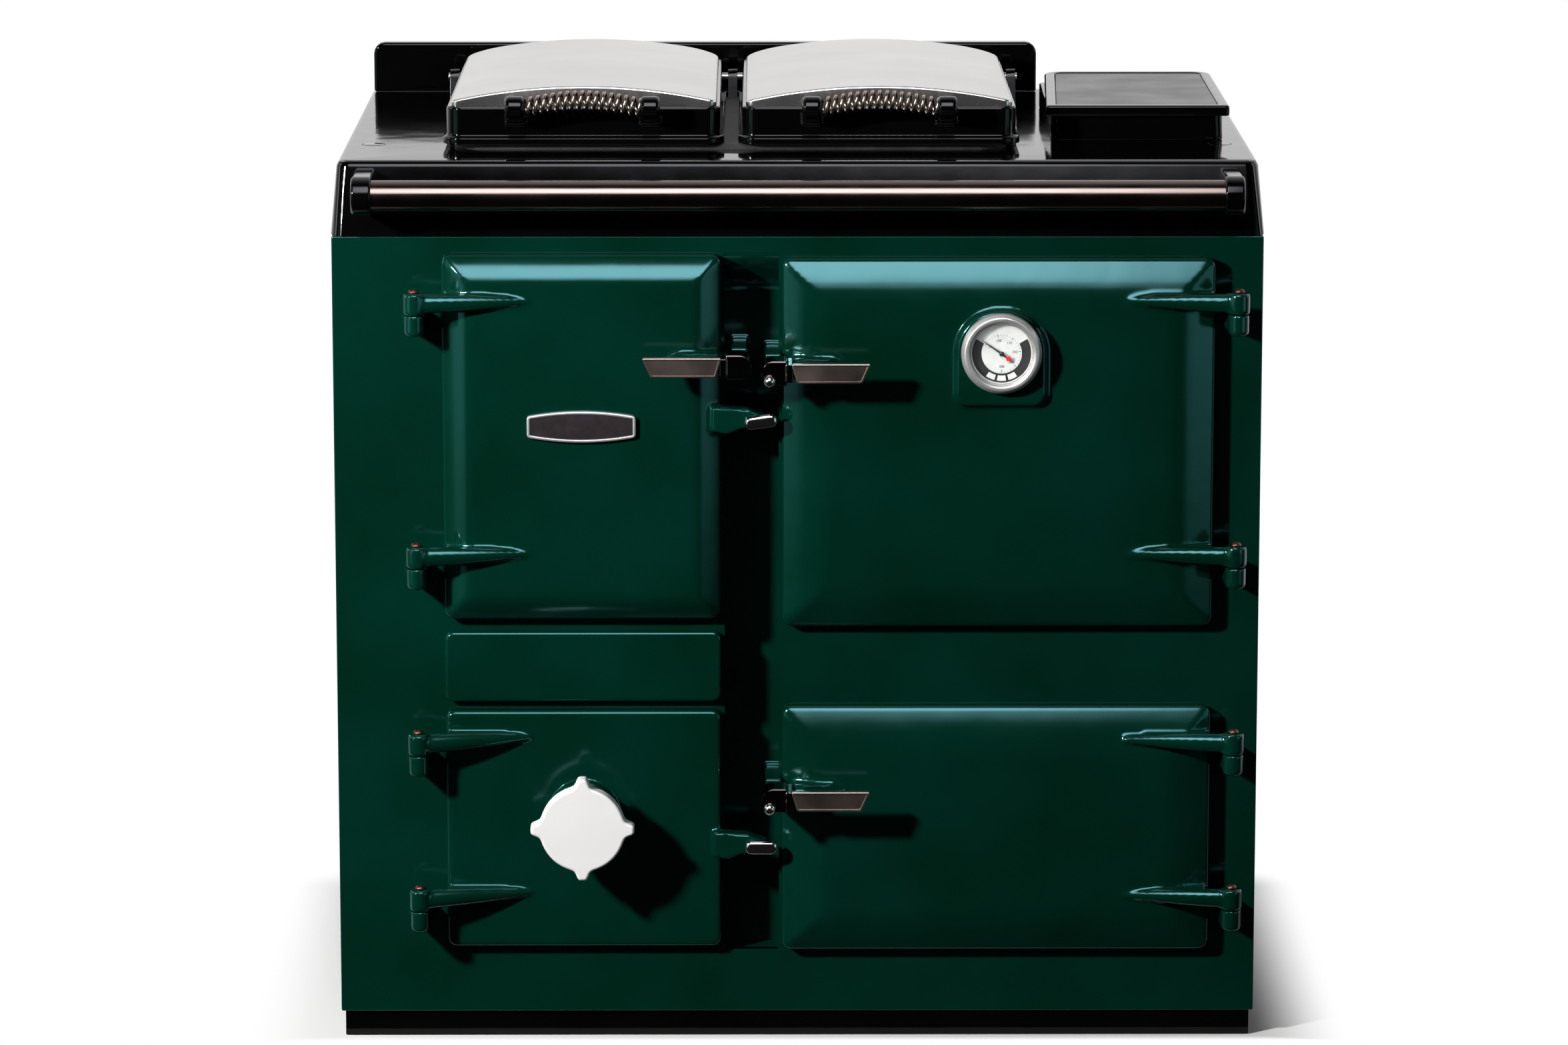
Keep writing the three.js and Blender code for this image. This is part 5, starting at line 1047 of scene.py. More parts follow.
# %% The plate and its windows
PLATE_HALF = 468.5
PLATE_LOW = 26.3
PLATE_HIGH = 830.7
DOOR_LAND = 25  # how far a door laps its window
plate_outline = round_rect(-PLATE_HALF, PLATE_HALF, PLATE_LOW, PLATE_HIGH, 2)
plate = build("front_plate_casting", slab(plate_outline, front, -8, 0, 0, 1.5))
windows = [
    round_rect(left + DOOR_LAND, right - DOOR_LAND, low + DOOR_LAND, high - DOOR_LAND, 2)
    for left, right, low, high in (FIRE_DOOR, ASHPIT_DOOR, MAIN_DOOR, LOWER_DOOR)
]
left, right, low, high = GRATE_PANEL
windows.append(round_rect(left + DOOR_LAND, right - DOOR_LAND, low + 20, high - 20, 2))
bore(plate, *[slab(window, front, -12, 4) for window in windows])
print("windows in the plate:", len(windows))

# %% Channel between the doors
CHANNEL_DEEP = 38
CHANNEL_WALL = 2
CHANNEL_RUN = 45  # the channel deepens over this height at its upper end
channel_left, channel_right = LEFT_DOORS[1] + 3, RIGHT_DOORS[0] - 3
channel_low, channel_high = LOWER_DOOR[2] - 3, MAIN_DOOR[3] + 4
channel_mouth = round_rect(channel_left, channel_right, channel_low, channel_high, 1)
bore(plate, slab(channel_mouth, front, -12, 4))


def channel_section(z, deep):
    """The folded sheet of the channel, cut across at one height."""
    lip = -0.2
    back = -max(deep + CHANNEL_WALL, 3)
    outer_left, outer_right = channel_left - CHANNEL_WALL, channel_right + CHANNEL_WALL
    inside = [(channel_right, lip), (channel_right, -deep), (channel_left, -deep), (channel_left, lip)]
    outside = [(outer_left, lip), (outer_left, back), (outer_right, back), (outer_right, lip)]
    return [front(x, z, out) for x, out in inside + outside]


sections = [channel_section(channel_low, CHANNEL_DEEP)]
for i in range(20, -1, -1):
    share = i / 20
    deep = 0.3 + (CHANNEL_DEEP - 0.3) * share * share * (3 - 2 * share)
    sections.append(channel_section(channel_high - CHANNEL_RUN * share, deep))
floor_outline = round_rect(
    channel_left - CHANNEL_WALL,
    channel_right + CHANNEL_WALL,
    FACE_Y + 0.2,
    FACE_Y + CHANNEL_DEEP + CHANNEL_WALL,
    1,
)
channel_floor = slab(floor_outline, plan, channel_low - CHANNEL_WALL, channel_low)
channel = build("channel_between_doors", skin(sections), channel_floor)
print("channel:", channel_right - channel_left, "mm wide,", CHANNEL_DEEP, "mm deep")

# %% Hinge lugs and keepers
# the lug's eye stands 0.5 mm under the door's knuckle, which reaches 11 mm below the hinge's middle
lug_outline = [
    Vector((-12, FACE_Y + 1)),
    Vector((-10.5, FACE_Y - 22)),
    *arc(0, FACE_Y - HINGE_OUT, 10, 180, 360, 24),
    Vector((10.5, FACE_Y - 22)),
    Vector((12, FACE_Y + 1)),
]
lug_foot = slab(round_rect(-14, 14, -34, -10, 8), front, -1, 2.5, 0, 1.5)
lug = cast("hinge_lug", [slab(lug_outline, plan, -32.5, -11.5, 4, 0.8), lug_foot], 1.0, 4)
hinge_places = [
    (x * MM, 0, z * MM) for x in (LEFT_HINGE_X, RIGHT_HINGE_X) for z in (*LOWER_HINGES, *UPPER_HINGES)
]
hinge_lugs = repeat("hinge_lugs", lug, green_enamel, hinge_places)

KEEPER_OUT = 29
KEEPER_ROOT = -CHANNEL_DEEP - 1
NOSE_BEHIND = 19.5  # from the blade's inner end back to the middle of the tongue
keeper_arm = slab(round_rect(-8.3, 8.3, 4.5, 12.5, 2), front, KEEPER_ROOT, KEEPER_OUT, 0, 2)
keeper_foot = slab(round_rect(-12, 12, 0.5, 16.5, 5), front, KEEPER_ROOT, 2.5 - CHANNEL_DEEP, 0, 1.5)
keeper = cast("keeper", [keeper_arm, keeper_foot], 0.9, 4)
keeper_places = [
    ((blade_x - way * NOSE_BEHIND) * MM, 0, z * MM)
    for blade_x, z, way in (MAIN_LEVER, LOWER_LEVER, FIRE_LEVER)
]
keepers = repeat("keepers", keeper, green_enamel, keeper_places)
plate = together("front_plate_with_lugs", plate, channel, hinge_lugs, keepers)
finish(plate, green_enamel, "cooker_body", "green_enamel", "front_plate", smooth=35)

# %% Hinge pins
pin_head = [(0.01, 15.3), (2.4, 15.1), (4.2, 14.2), (5.3, 12.8), (5.5, 11.9), (5.2, 11.3)]
pin_profile = [*pin_head, (3.5, 11.3), (3.5, -31.8), (3.0, -32.3)]
pin = build("hinge_pin", lathe(pin_profile, 0, FACE_Y - HINGE_OUT, plan, 28))
pins = repeat("hinge_pins", pin, coppered_pin, hinge_places)
pin_nodes = [
    f"{hinge}_hinge_pin_{end}"
    for hinge in ("fire", "ashpit", "main_oven", "lower_oven")
    for end in ("lower", "upper")
]
finish(pins, None, "cooker_body", "copper", *pin_nodes)

# %% [markdown]
# ## Levers, turn-buttons and wheel
# A lever is a flat blade with a raised border, a cheek, and a heavy rounded hub whose tongue drops
# behind a keeper. On the oven doors a small plated ball sits on the hub. The blade keeps its crisp
# border, so it is drawn ring by ring and plated in satin chrome, while the hub is poured like a
# casting and polished, and its chrome is darkened in colour as painted shade, which leaves it dark
# beside the blade.


# %% Rings that follow an outline
def layered(outline, plane, steps):
    """A shell whose edge follows (inwards, level) steps."""
    return skin([[plane(*p, level) for p in shrink(outline, by)] for by, level in steps])


def soften_corners(corners, radius, steps=5):
    """A polygon with its corners rounded."""
    outline = []
    for i, corner in enumerate(corners):
        before, after = corners[i - 1], corners[(i + 1) % len(corners)]
        start = corner + (before - corner).normalized() * radius
        end = corner + (after - corner).normalized() * radius
        for step in range(steps + 1):
            share = step / steps
            outline.append(start * (1 - share) ** 2 + corner * 2 * share * (1 - share) + end * share**2)
    return outline


# %% Lever handles
BLADE_OUT = 76
BLADE_FLANK = [(0.5, 68), (0, 68.6), (0, 75), (0.3, 75.7)]
BLADE_BORDER = [(0.9, BLADE_OUT), (1.7, BLADE_OUT), (2.2, 75.4), (2.4, 75)]
HUB_SIDES = (-32, -6)  # from the blade's inner end, against the way it points


def lever_handle(name, lever, body, node, ball=True):
    """A whole lever: its blade, its hub with tongue and shaft, and the ball if it has one."""
    blade_x, z, way = lever

    def across(*distances):
        return sorted(blade_x + way * distance for distance in distances)

    corners = [Vector((blade_x + way * t, z + up)) for t, up in ((4, -10), (69, -10), (78, 10), (-2, 10))]
    if way < 0:
        corners.reverse()
    blade_shell = layered(soften_corners(corners, 2.5), front, BLADE_FLANK + BLADE_BORDER)
    blade = build(f"{name}_blade", blade_shell)

    cheek = [Vector((75.5, z - 9)), Vector((75.5, z + 9)), *arc(44, z, 11, 80, 280, 20)]
    nose_side = [
        Vector((60, z - 13)),
        *arc(70, z - 9, 4, -90, 0, 6),
        *arc(72, z + 11, 2, 0, 90, 6),
        *arc(44, z, 13, 90, 210, 12),
    ]
    nose = build(f"{name}_nose", slab(nose_side, beside, *across(*HUB_SIDES)))
    crown = [2, 2, 14, 11] if way > 0 else [11, 14, 2, 2]
    low, high = across(*HUB_SIDES)
    shape = build("nose_front", slab(round_rect(low, high, z - 13, z + 13, crown, 12), front, 0, 90))
    trim = nose.modifiers.new("trim", "BOOLEAN")
    trim.operation = "INTERSECT"
    trim.solver = "MANIFOLD"
    trim.object = shape
    bake(nose)
    bpy.data.objects.remove(shape)

    if ball:
        profile = []
        for i in range(17):
            turn = math.pi * (i + 0.02) / 16
            profile.append((max(6.5 * math.sin(turn), 0.02), 75 + 6.5 * math.cos(turn)))
        weight = lathe(profile, blade_x + way * -23.5, z - 7.5, front, 32)
        finish(build(f"{name}_ball", weight), chrome_plate, body, "chrome")
    tongue = slab(round_rect(*across(-26, -12), z - 4, z + 4, 1), front, 24, 50)
    inner, outer = (front(blade_x + way * t, z, LEVER_OUT) for t in (-4, 24))
    shaft = rod(inner, outer, SHAFT_BORE - 0.3, 32, 0.8)
    rest = build(f"{name}_rest", slab(cheek, beside, *across(-7, 0.5), 1.2, 1.2), tongue, shaft)
    lever_body = together(f"{name}_hub", nose, rest)
    pour = lever_body.modifiers.new("pour", "REMESH")
    pour.mode = "VOXEL"
    pour.voxel_size = 0.7 * MM
    polish = lever_body.modifiers.new("polish", "SMOOTH")
    polish.iterations = 2
    bake(lever_body)
    finish(blade, satin_lever, body, "chrome", smooth=50)
    # the hub's chrome is darkened in colour: painted shade
    return finish(lever_body, chrome_darkened_as_shade, body, "chrome", node, smooth=50)


lever_handle("fire_door_lever", FIRE_LEVER, "fire_door_lever", "fire_door_handle", ball=False)
lever_handle("main_oven_lever", MAIN_LEVER, "main_oven_lever", "main_oven_handle")
lever_handle("lower_oven_lever", LOWER_LEVER, "lower_oven_lever", "lower_oven_handle")


# %% Turn-buttons
def turn_button(z, tilt, body, node):
    """A domed oblong on a stem, turned by tilt degrees."""
    middle = Vector((BUTTON_X, z))
    turned = Matrix.Rotation(math.radians(tilt), 2)
    outline = [middle + turned @ p for p in round_rect(-16.5, 16.5, -7, 7, 6.6)]
    steps = [(0.8, 28), (0, 28.8)]
    for i in range(9):
        turn = math.pi / 2 * i / 8
        steps.append((5.2 * (1 - math.cos(turn)), 33.5 + 3.5 * math.sin(turn)))
    knob = layered(outline, front, steps)
    stem = rod(front(BUTTON_X, z, 30), front(BUTTON_X, z, 11.5), BUTTON_BORE - 0.3, 28)
    finish(build(f"{body}_plated", knob, stem), chrome_plate, body, "chrome", node, smooth=50)


turn_button(FIRE_BUTTON_Z, 8, "fire_door_button", "fire_door_catch")
turn_button(ASHPIT_BUTTON_Z, 0, "ashpit_button", "ashpit_door_catch")

# %% Spin wheel
WHEEL_RADIUS = 43
WHEEL_OUT = 82
WHEEL_THICK = 18
LOBE_REACH = 9.4  # how far each of the four thumb lobes stands out
LOBE_WIDE = 5.8  # how far from its middle a lobe has fallen to half of that
wheel_outline = []
for i in range(240):
    turn = 2 * math.pi * i / 240
    from_lobe = abs((turn + math.pi / 4) % (math.pi / 2) - math.pi / 4) * WHEEL_RADIUS
    reach = WHEEL_RADIUS + LOBE_REACH / (1 + (from_lobe / LOBE_WIDE) ** 5)
    wheel_outline.append(Vector((WHEEL_X + reach * math.cos(turn), WHEEL_Z + reach * math.sin(turn))))
wheel = build("air_wheel_disc", slab(wheel_outline, front, WHEEL_OUT - WHEEL_THICK, WHEEL_OUT, 1.5, 3))
bore(wheel, rod(front(WHEEL_X, WHEEL_Z, 60), front(WHEEL_X, WHEEL_Z, 74), SHAFT_BORE, 32))
finish(wheel, satin_wheel, "air_regulator", "chrome", "air_wheel", smooth=50)

# %% [markdown]
# ## Oven thermometer
# A chromed bezel holds a flat glass over a white dial. The scale is printed: a black band runs round
# the lower dial, with three white windows in it and plain numbers inside, every fifty degrees. The
# needle is dark, with a red counterweight.

# %% Bezel and glass
BEZEL_BACK = 37.3
BEZEL_FRONT = 50.3
DIAL_OUT = 40.8
NEEDLE_OUT = 43.8
bezel_corners = [
    Vector((31, BEZEL_BACK)),
    Vector((40.5, BEZEL_BACK)),
    Vector((40.5, 45.5)),
    Vector((37, BEZEL_FRONT)),
    Vector((33.5, BEZEL_FRONT)),
    Vector((31, 47.5)),
]
bezel_profile = [tuple(p) for p in soften_corners(bezel_corners, 1.4, 6)]
bezel = build(
    "thermometer_bezel_ring",
    lathe(bezel_profile, GAUGE_X, GAUGE_Z, front, 96, loop=True),
    slab(circle(GAUGE_X, GAUGE_Z, 35, 64), front, BEZEL_BACK, 38.8),
)
finish(bezel, satin_ring, "main_oven_leaf", "chrome", "thermometer_bezel", smooth=50)
glass_profile = [(30.6, 46.3), (30.6, 47.9), (24, 48.25), (12, 48.45), (0.02, 48.5)]
glass = build("thermometer_pane", lathe([(0.02, 46.3), *glass_profile], GAUGE_X, GAUGE_Z, front, 64))
finish(glass, glass_pane, "main_oven_leaf", "clear_glass", "thermometer_glass", smooth=50)


# %% Dial and its print
def sector(inner, outer, start, end, low, high, steps=48):
    """A piece of a flat ring on the dial, between two angles."""
    outline = arc(GAUGE_X, GAUGE_Z, outer, start, end, steps)
    outline += arc(GAUGE_X, GAUGE_Z, inner, end, start, steps)
    return skin([[front(*p, level) for p in outline] for level in (low, high)])


dial = build(
    "thermometer_dial_plate",
    slab(circle(GAUGE_X, GAUGE_Z, 30.6, 96), front, 39, DIAL_OUT, 0, 0.3),
    rod(front(GAUGE_X, GAUGE_Z, DIAL_OUT - 0.2), front(GAUGE_X, GAUGE_Z, NEEDLE_OUT - 0.4), 1.5, 20),
    *[sector(22.2, 27.6, a, a + 19, DIAL_OUT + 0.05, DIAL_OUT + 0.35, 12) for a in (236, 260.5, 285)],
)
finish(dial, dial_face_paint, "main_oven_leaf", "dial_white", "thermometer_dial")

SCALE_START = 150  # the scale runs clockwise from here, in degrees from the right
SCALE_SWEEP = 240
TICK_RADIUS = 19.4
NUMBER_RADIUS = 13.2
INK = (DIAL_OUT - 0.1, DIAL_OUT + 0.2)  # the printing's back and face
print_shells = [sector(20.2, 29.4, SCALE_START, SCALE_START + SCALE_SWEEP, *INK, 96)]
for i in range(26):
    turn = SCALE_START - SCALE_SWEEP + SCALE_SWEEP * i / 25
    long = 2.6 if i % 5 == 0 else 1.5
    half = 0.9 if i % 5 == 0 else 0.45
    print_shells.append(sector(TICK_RADIUS - long, TICK_RADIUS, turn - half, turn + half, *INK, 2))
dial_band = build("dial_scale", *print_shells)


def numeral(text, x, z, height):
    """A number printed flat on the dial."""
    curve = bpy.data.curves.new(f"numeral_{text}", "FONT")
    curve.body = text
    curve.size = height * MM
    curve.align_x = "CENTER"
    curve.align_y = "CENTER"
    curve.extrude = 0.1 * MM
    lettering = bpy.data.objects.new(curve.name, curve)
    upright = Matrix.Rotation(math.pi / 2, 4, "X")
    bpy.context.scene.collection.objects.link(lettering)
    bpy.context.view_layer.update()
    shown = lettering.evaluated_get(bpy.context.evaluated_depsgraph_get())
    mesh = bpy.data.meshes.new_from_object(shown)
    mesh.transform(Matrix.Translation(front(x, z, DIAL_OUT + 0.05)) @ upright)
    bpy.data.objects.remove(lettering)
    printed = bpy.data.objects.new(f"numeral_{text}", mesh)
    bpy.context.scene.collection.objects.link(printed)
    return printed


numerals = []
for i in range(6):
    turn = math.radians(SCALE_START - SCALE_SWEEP + SCALE_SWEEP / 5 * i)
    x = GAUGE_X + NUMBER_RADIUS * math.cos(turn)
    z = GAUGE_Z + NUMBER_RADIUS * math.sin(turn)
    numerals.append(numeral(str(300 - 50 * i), x, z, 3.6))
dial_printing = together("dial_printing", dial_band, *numerals)
finish(dial_printing, dial_print, "main_oven_leaf", "needle_black")

# %% Needle
NEEDLE_TURN = Matrix.Rotation(math.radians(145), 2)
NEEDLE_MIDDLE = Vector((GAUGE_X, GAUGE_Z))


def on_needle(*points):
    """Points drawn along the needle, turned to where it rests."""
    return [NEEDLE_MIDDLE + NEEDLE_TURN @ Vector(p) for p in points]


blade = on_needle((24, 0.25), (0, 1.1), (-5.4, 0.8), (-5.4, -0.8), (0, -1.1), (24, -0.25))
cap = [(0.02, 45.6), (1.2, 45.5), (2.2, 45.1), (2.6, 44.4), (2.6, NEEDLE_OUT)]
needle = build(
    "thermometer_pointer_blade",
    slab(blade, front, NEEDLE_OUT, NEEDLE_OUT + 0.8),
    lathe(cap, GAUGE_X, GAUGE_Z, front, 32),
)
finish(needle, dial_print, "thermometer_pointer", "needle_black", "thermometer_needle")
tail = on_needle((-5.2, 0.7), (-8.4, 3), (-12, 0), (-8.4, -3), (-5.2, -0.7))
red_tail = build("thermometer_pointer_tail", slab(tail, front, NEEDLE_OUT, NEEDLE_OUT + 0.9))
finish(red_tail, needle_red, "thermometer_pointer", "needle_black")

# %% Grate panel
GRATE_PANEL_OUT = 11
left, right, low, high = GRATE_PANEL
plug_x = DOOR_LAND + 2  # the plug stands 2 mm clear of its window
plug_z = DOOR_LAND - 5 + 2
plug = slab(round_rect(left + plug_x, right - plug_x, low + plug_z, high - plug_z, 2), front, -7.6, 1, 1, 0)
grate_panel = build("grate_panel_casting", flat_panel(GRATE_PANEL, GRATE_PANEL_OUT, 4), plug)
finish(grate_panel, green_enamel, "grate_cover", "green_enamel", "grate_panel")

# %% [markdown]
# ## Badge
# The fire door carries a small barrel-shaped badge: a plated rim cast in one with its tray, round a
# plain, dark enamelled ground.

# %% Badge
BADGE_X = WHEEL_X
BADGE_Z = 642
BADGE_HALF = 54.8
BADGE_END = 10.8  # half its height at either end
BADGE_BELLY = 5.2  # how much further its long sides bulge
belly = [i / 8 for i in range(-8, 9)]
badge_corners = [
    Vector((BADGE_X + BADGE_HALF * t, BADGE_Z - BADGE_END - BADGE_BELLY * (1 - t * t))) for t in belly
]
badge_corners += [
    Vector((BADGE_X - BADGE_HALF * t, BADGE_Z + BADGE_END + BADGE_BELLY * (1 - t * t))) for t in belly
]
badge_outline = soften_corners(badge_corners, 3.4, 4)
BADGE_OUT = FIELD_OUT + 5.5
rim_steps = [(0.4, FIELD_OUT - 0.4), (0, FIELD_OUT + 0.6)]
rim_round = [(0, -1.2), (0.3, -0.5), (0.9, -0.1), (1.6, 0), (2.4, 0), (2.9, -0.4), (3.1, -1.2)]
rim_steps += [(by, BADGE_OUT + up) for by, up in rim_round]
badge_rim = build("badge_rim", layered(badge_outline, front, rim_steps))
finish(badge_rim, satin_ring, "fire_door_leaf", "chrome", smooth=60)
ground_steps = [(3, BADGE_OUT - 2), (3, BADGE_OUT - 1.1), (3.2, BADGE_OUT - 0.9)]
badge_panel = build("badge_ground", layered(badge_outline, front, ground_steps))
finish(badge_panel, badge_ground, "fire_door_leaf", "black_enamel")

# %% [markdown]
# ## Handrail
# The rail is drawn steel tube, brushed along its length, and its ends are pushed into two cast
# brackets. It is turned as one profile, so that it has a real wall and a small round at each end.

# %% Handrail and brackets
RAIL_OUT = 48
RAIL_Z = 878.5
RAIL_HALF = 434.5
RAIL_RADIUS = 15.5
BRACKET_HALF = 19.5
WALL_OUT = (-5.5, -15)  # where the sloping top plate lies, at the bracket's foot and head
rail_wall = [(13.5, -RAIL_HALF), (15.1, -RAIL_HALF), (RAIL_RADIUS, 0.4 - RAIL_HALF)]
rail_profile = rail_wall + [(radius, -x) for radius, x in reversed(rail_wall)]
rail = build("drawn_rail", lathe(rail_profile, RAIL_OUT, RAIL_Z, beside, 72, loop=True))
finish(rail, brushed_bar, "cooker_body", "chrome", "handrail")

for side, node in ((-1, "rail_bracket_left"), (1, "rail_bracket_right")):
    foot = Vector((WALL_OUT[0], RAIL_Z - BRACKET_HALF))
    head = Vector((WALL_OUT[1], RAIL_Z + BRACKET_HALF))
    outline = [head, foot, *arc(RAIL_OUT, RAIL_Z, BRACKET_HALF, -90, 90, 24)]
    low, high = sorted((side * (RAIL_HALF - 10), side * (RAIL_HALF + 10)))
    bracket = build(f"{node}_casting", slab(outline, beside, low, high, 3, 3))
    socket = (beside(RAIL_OUT, RAIL_Z, side * 400), beside(RAIL_OUT, RAIL_Z, side * (RAIL_HALF + 0.3)))
    bore(bracket, rod(*socket, RAIL_RADIUS + 0.3, 72))
    finish(bracket, black_enamel, "cooker_body", "black_enamel", node)

# %% [markdown]
# ## Lids
# A lid is an insulated iron box in black enamel under a polished steel cover. The cover is pressed in
# one stroke, so it bends only across the lid and its edge turns down in a small even round. It is drawn
# as rings that draw in towards the middle, each point lifted on to the arch.

# %% Lid bases
LID_MIDDLES = {"left": WHEEL_X, "right": 83.5}
LID_HALF = 143.5
LID_FRONT = FACE_Y + 94
LID_BACK = FACE_Y + 534
LID_FOOT = 910.8
LID_TOP = 948.8
LID_ROD_Y = FACE_Y + 520
LID_ROD_Z = 929.8
COIL_Y = FACE_Y + 68
COIL_Z = 951.8
HORN_X = 68.5  # from the handle's middle to the middle of each horn
HORN_RADIUS = 12
foot_steps = [(1.2, 0), (0.3, 0.3), (0, 1.2), (0, 5.6), (0.5, 6.8), (1.8, 7.6)]
foot_steps += [(3.2, 8.2), (3.9, 9.4), (4, 11)]
shoulder_steps = [(4, 35.4), (4.2, 36.5), (4.8, 37.5), (5.8, 38), (7.5, 38)]
base_steps = [(by, LID_FOOT + up) for by, up in foot_steps + shoulder_steps]

HORN_ROOT = FACE_Y - LID_FRONT - 9  # the horn begins this far inside the base
horn_side = [
    *arc(FACE_Y - COIL_Y, COIL_Z, HORN_RADIUS, -70, 120, 20),
    Vector((HORN_ROOT, LID_TOP - 2)),
    Vector((HORN_ROOT, LID_TOP - 17)),
]

for side, middle in LID_MIDDLES.items():
    edge = round_rect(middle - LID_HALF, middle + LID_HALF, LID_FRONT, LID_BACK, 20, 10)
    base = build(f"lid_base_{side}_box", layered(edge, plan, base_steps))
    rod_ends = [plan(middle + way * 150, LID_ROD_Y, LID_ROD_Z) for way in (-1, 1)]
    bore(base, rod(*rod_ends, 4.3, 32))
    arm = slab(horn_side, beside, -10, 10, 4.5, 4.5)
    foot = slab(round_rect(-12, 12, LID_TOP - 21, LID_TOP - 4, 5), front, -99, -96, 0, 1.5)
    horn = cast("handle_horn", [arm, foot], 0.8, 5)
    horn_places = [((middle + way * HORN_X) * MM, 0, 0) for way in (-1, 1)]
    horns = repeat(f"lid_horns_{side}", horn, black_enamel, horn_places)
    whole = together(f"lid_base_{side}_casting", base, horns)
    finish(whole, black_enamel, f"{side}_lid", "black_enamel", f"lid_base_{side}")

# %% Polished covers
COVER_HALF = LID_HALF - 8
COVER_FRONT = LID_FRONT + 8
COVER_BACK = LID_BACK - 8
COVER_BOTTOM = LID_TOP + 0.3
COVER_SIDE = 6  # height of its side below the arch
COVER_RISE = 15
COVER_ROUND = 2.6
cover_radius = (COVER_HALF**2 + COVER_RISE**2) / (2 * COVER_RISE)


def even_steps(outline, longest):
    """The same outline with its straight runs cut into short lengths."""
    cut = []
    for i, here in enumerate(outline):
        ahead = outline[(i + 1) % len(outline)]
        pieces = max(1, math.ceil((ahead - here).length / longest))
        cut += [here.lerp(ahead, k / pieces) for k in range(pieces)]
    return cut


def arch_height(x):
    """How high the arch stands, x from its middle."""
    return COVER_BOTTOM + COVER_SIDE + COVER_RISE - cover_radius + math.sqrt(cover_radius**2 - x * x)


cover_edge = even_steps(round_rect(-COVER_HALF, COVER_HALF, COVER_FRONT, COVER_BACK, [8, 38, 38, 8], 10), 7)
cover_middle = Vector((0, (COVER_FRONT + COVER_BACK) / 2))
for side, middle in LID_MIDDLES.items():
    rings = [
        [plan(middle + p.x, p.y, COVER_BOTTOM) for p in shrink(cover_edge, 0.5)],
        [plan(middle + p.x, p.y, COVER_BOTTOM + 0.5) for p in cover_edge],
    ]
    for by, back in [(0, COVER_ROUND), *quarter_round(COVER_ROUND, 6)]:
        moved = shrink(cover_edge, by)
        rings.append([plan(middle + p.x, p.y, arch_height(p.x) - back) for p in moved])
    for step in range(1, 25):
        left_over = 1 - (step / 24) * 0.985
        drawn_in = [cover_middle + (p - cover_middle) * left_over for p in moved]
        rings.append([plan(middle + p.x, p.y, arch_height(p.x)) for p in drawn_in])
    cover = build(f"lid_cover_{side}", skin(rings))
    finish(cover, polished_cover, f"{side}_lid", "chrome", f"lid_dome_{side}", smooth=60)

# %% [markdown]
# The handle is a coil of spring wire, which stays cool because air moves through it. Its axis bows
# upwards and its ends go straight into the horns. Geometry Nodes draws the spiral, bends it and sweeps
# the wire along it, so that the turns, the bow or the gauge of the wire can be changed by one value.

# %% Wound handles
wound_wire, entry = socket_tree(
    "wound_wire",
    ("Right end", "Vector"),
    ("Turns", "Float"),
    ("Length", "Float"),
    ("Coil radius", "Float"),
    ("Wire radius", "Float"),
    ("Bow", "Float"),
    ("Finish", "Material"),
)
spiral_links = {
    "Rotations": entry["Turns"],
    "Start Radius": entry["Coil radius"],
    "End Radius": entry["Coil radius"],
    "Height": entry["Length"],
}
spiral = add(wound_wire, "GeometryNodeCurveSpiral", None, spiral_links, Resolution=28)
spot = add(wound_wire, "GeometryNodeInputPosition")
height = add(wound_wire, "ShaderNodeSeparateXYZ", None, {0: spot.outputs["Position"]})
along = {0: height.outputs["Z"], 1: entry["Length"]}
share = add(wound_wire, "ShaderNodeMath", {"operation": "DIVIDE"}, along)
half_turn = add(wound_wire, "ShaderNodeMath", PRODUCT, {0: share.outputs[0]})
half_turn.inputs[1].default_value = math.pi
swell = add(wound_wire, "ShaderNodeMath", {"operation": "SINE"}, {0: half_turn.outputs[0]})
rise = add(wound_wire, "ShaderNodeMath", PRODUCT, {0: swell.outputs[0], 1: entry["Bow"]})
sideways = add(wound_wire, "ShaderNodeCombineXYZ", None, {"X": rise.outputs[0]})
bow_links = {"Geometry": spiral.outputs["Curve"], "Offset": sideways.outputs["Vector"]}
bowed = add(wound_wire, "GeometryNodeSetPosition", None, bow_links)
lay_links = {"Geometry": bowed.outputs["Geometry"], "Translation": entry["Right end"]}
laid = add(wound_wire, "GeometryNodeTransform", None, lay_links, Rotation=(0, -math.pi / 2, 0))
gauge = {"Radius": entry["Wire radius"]}
section = add(wound_wire, "GeometryNodeCurvePrimitiveCircle", None, gauge, Resolution=14)
sweep_links = {"Curve": laid.outputs["Geometry"], "Profile Curve": section.outputs["Curve"]}
swept = add(wound_wire, "GeometryNodeCurveToMesh", None, sweep_links, Fill_Caps=True)
real = add(wound_wire, "GeometryNodeRealizeInstances", None, {0: swept.outputs["Mesh"]})
coated = {0: real.outputs[0], "Material": entry["Finish"]}
painted = add(wound_wire, "GeometryNodeSetMaterial", None, coated)
add(wound_wire, "NodeGroupOutput", None, {0: painted.outputs[0]})

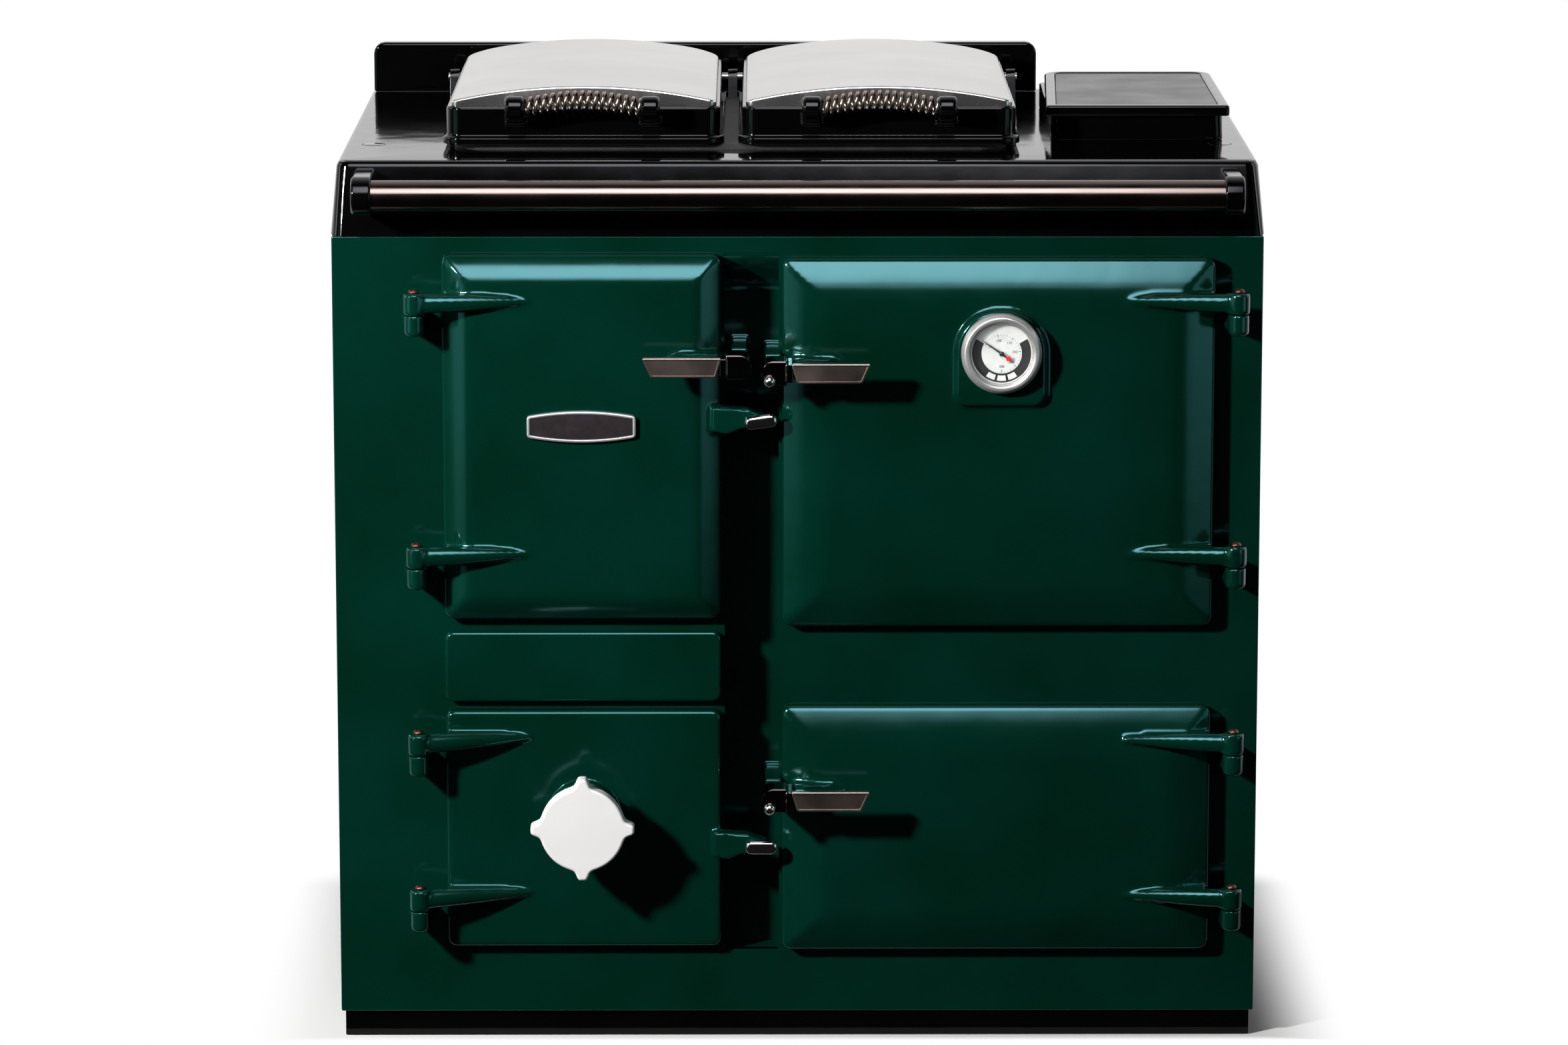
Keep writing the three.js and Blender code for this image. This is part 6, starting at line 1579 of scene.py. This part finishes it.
COIL_LENGTH = 2 * HORN_X - 18
COIL_TURNS = 16.0
for side, middle in LID_MIDDLES.items():
    handle = run_tree(
        build(f"wound_handle_{side}"),
        wound_wire,
        Right_end=plan(middle + COIL_LENGTH / 2, COIL_Y, COIL_Z),
        Turns=COIL_TURNS,
        Length=COIL_LENGTH * MM,
        Coil_radius=8.7 * MM,
        Wire_radius=1.8 * MM,
        Bow=7.5 * MM,
        Finish=spring_wire,
    )
    finish(handle, spring_wire, f"{side}_lid", "chrome", f"lid_handle_{side}", smooth=60)

# %% [markdown]
# ## Flue cover
# The cover over the flue box is a shallow tray with a rolled rim and an enamelled panel let into it.
# Its left side draws in towards the wall, as the flue box does, and its back corners are round.

# %% Flue cover and panel
COVER_X = (256, 445)
FLUE_Y = (FACE_Y + 162, FACE_Y + 461)
FLUE_COVER_LOW = 931.3
FLUE_SLANT = 12  # how far its left side draws in towards the wall


def flue_outline(by):
    """The cover's outline, drawn in by that much."""
    left, right = COVER_X[0] + by, COVER_X[1] - by
    low, high = FLUE_Y[0] + by, FLUE_Y[1] - by
    back_corner = max(22 - by, 3)
    slanted = []
    for p in round_rect(left, right, low, high, [4, back_corner, back_corner, 4], 8):
        moved = FLUE_SLANT * (p.y - low) / (high - low) * (right - p.x) / (right - left)
        slanted.append(Vector((p.x + moved, p.y)))
    return slanted


rim_steps = [(1.2, 0), (0.3, 0.4), (0, 1.4), (0, 8.4), (0.4, 9.8), (1.4, 10.7), (2.8, 11)]
rim_steps += [(8.6, 11), (9.8, 10.7), (10.6, 10), (10.9, 9), (11, 6)]
rim = skin([[plan(*p, FLUE_COVER_LOW + up) for p in flue_outline(by)] for by, up in rim_steps])
finish(build("flue_cover_rim", rim), black_enamel, "flue_lid", "black_enamel", "flue_cover")
panel_steps = [(11.3, 6.3), (11.3, 9.4), (11.6, 9.85), (12.2, 10), (14, 10)]
panel = skin([[plan(*p, FLUE_COVER_LOW + up) for p in flue_outline(by)] for by, up in panel_steps])
finish(build("flue_cover_inlay", panel), satin_black, "flue_lid", "black_enamel", "flue_cover_panel")
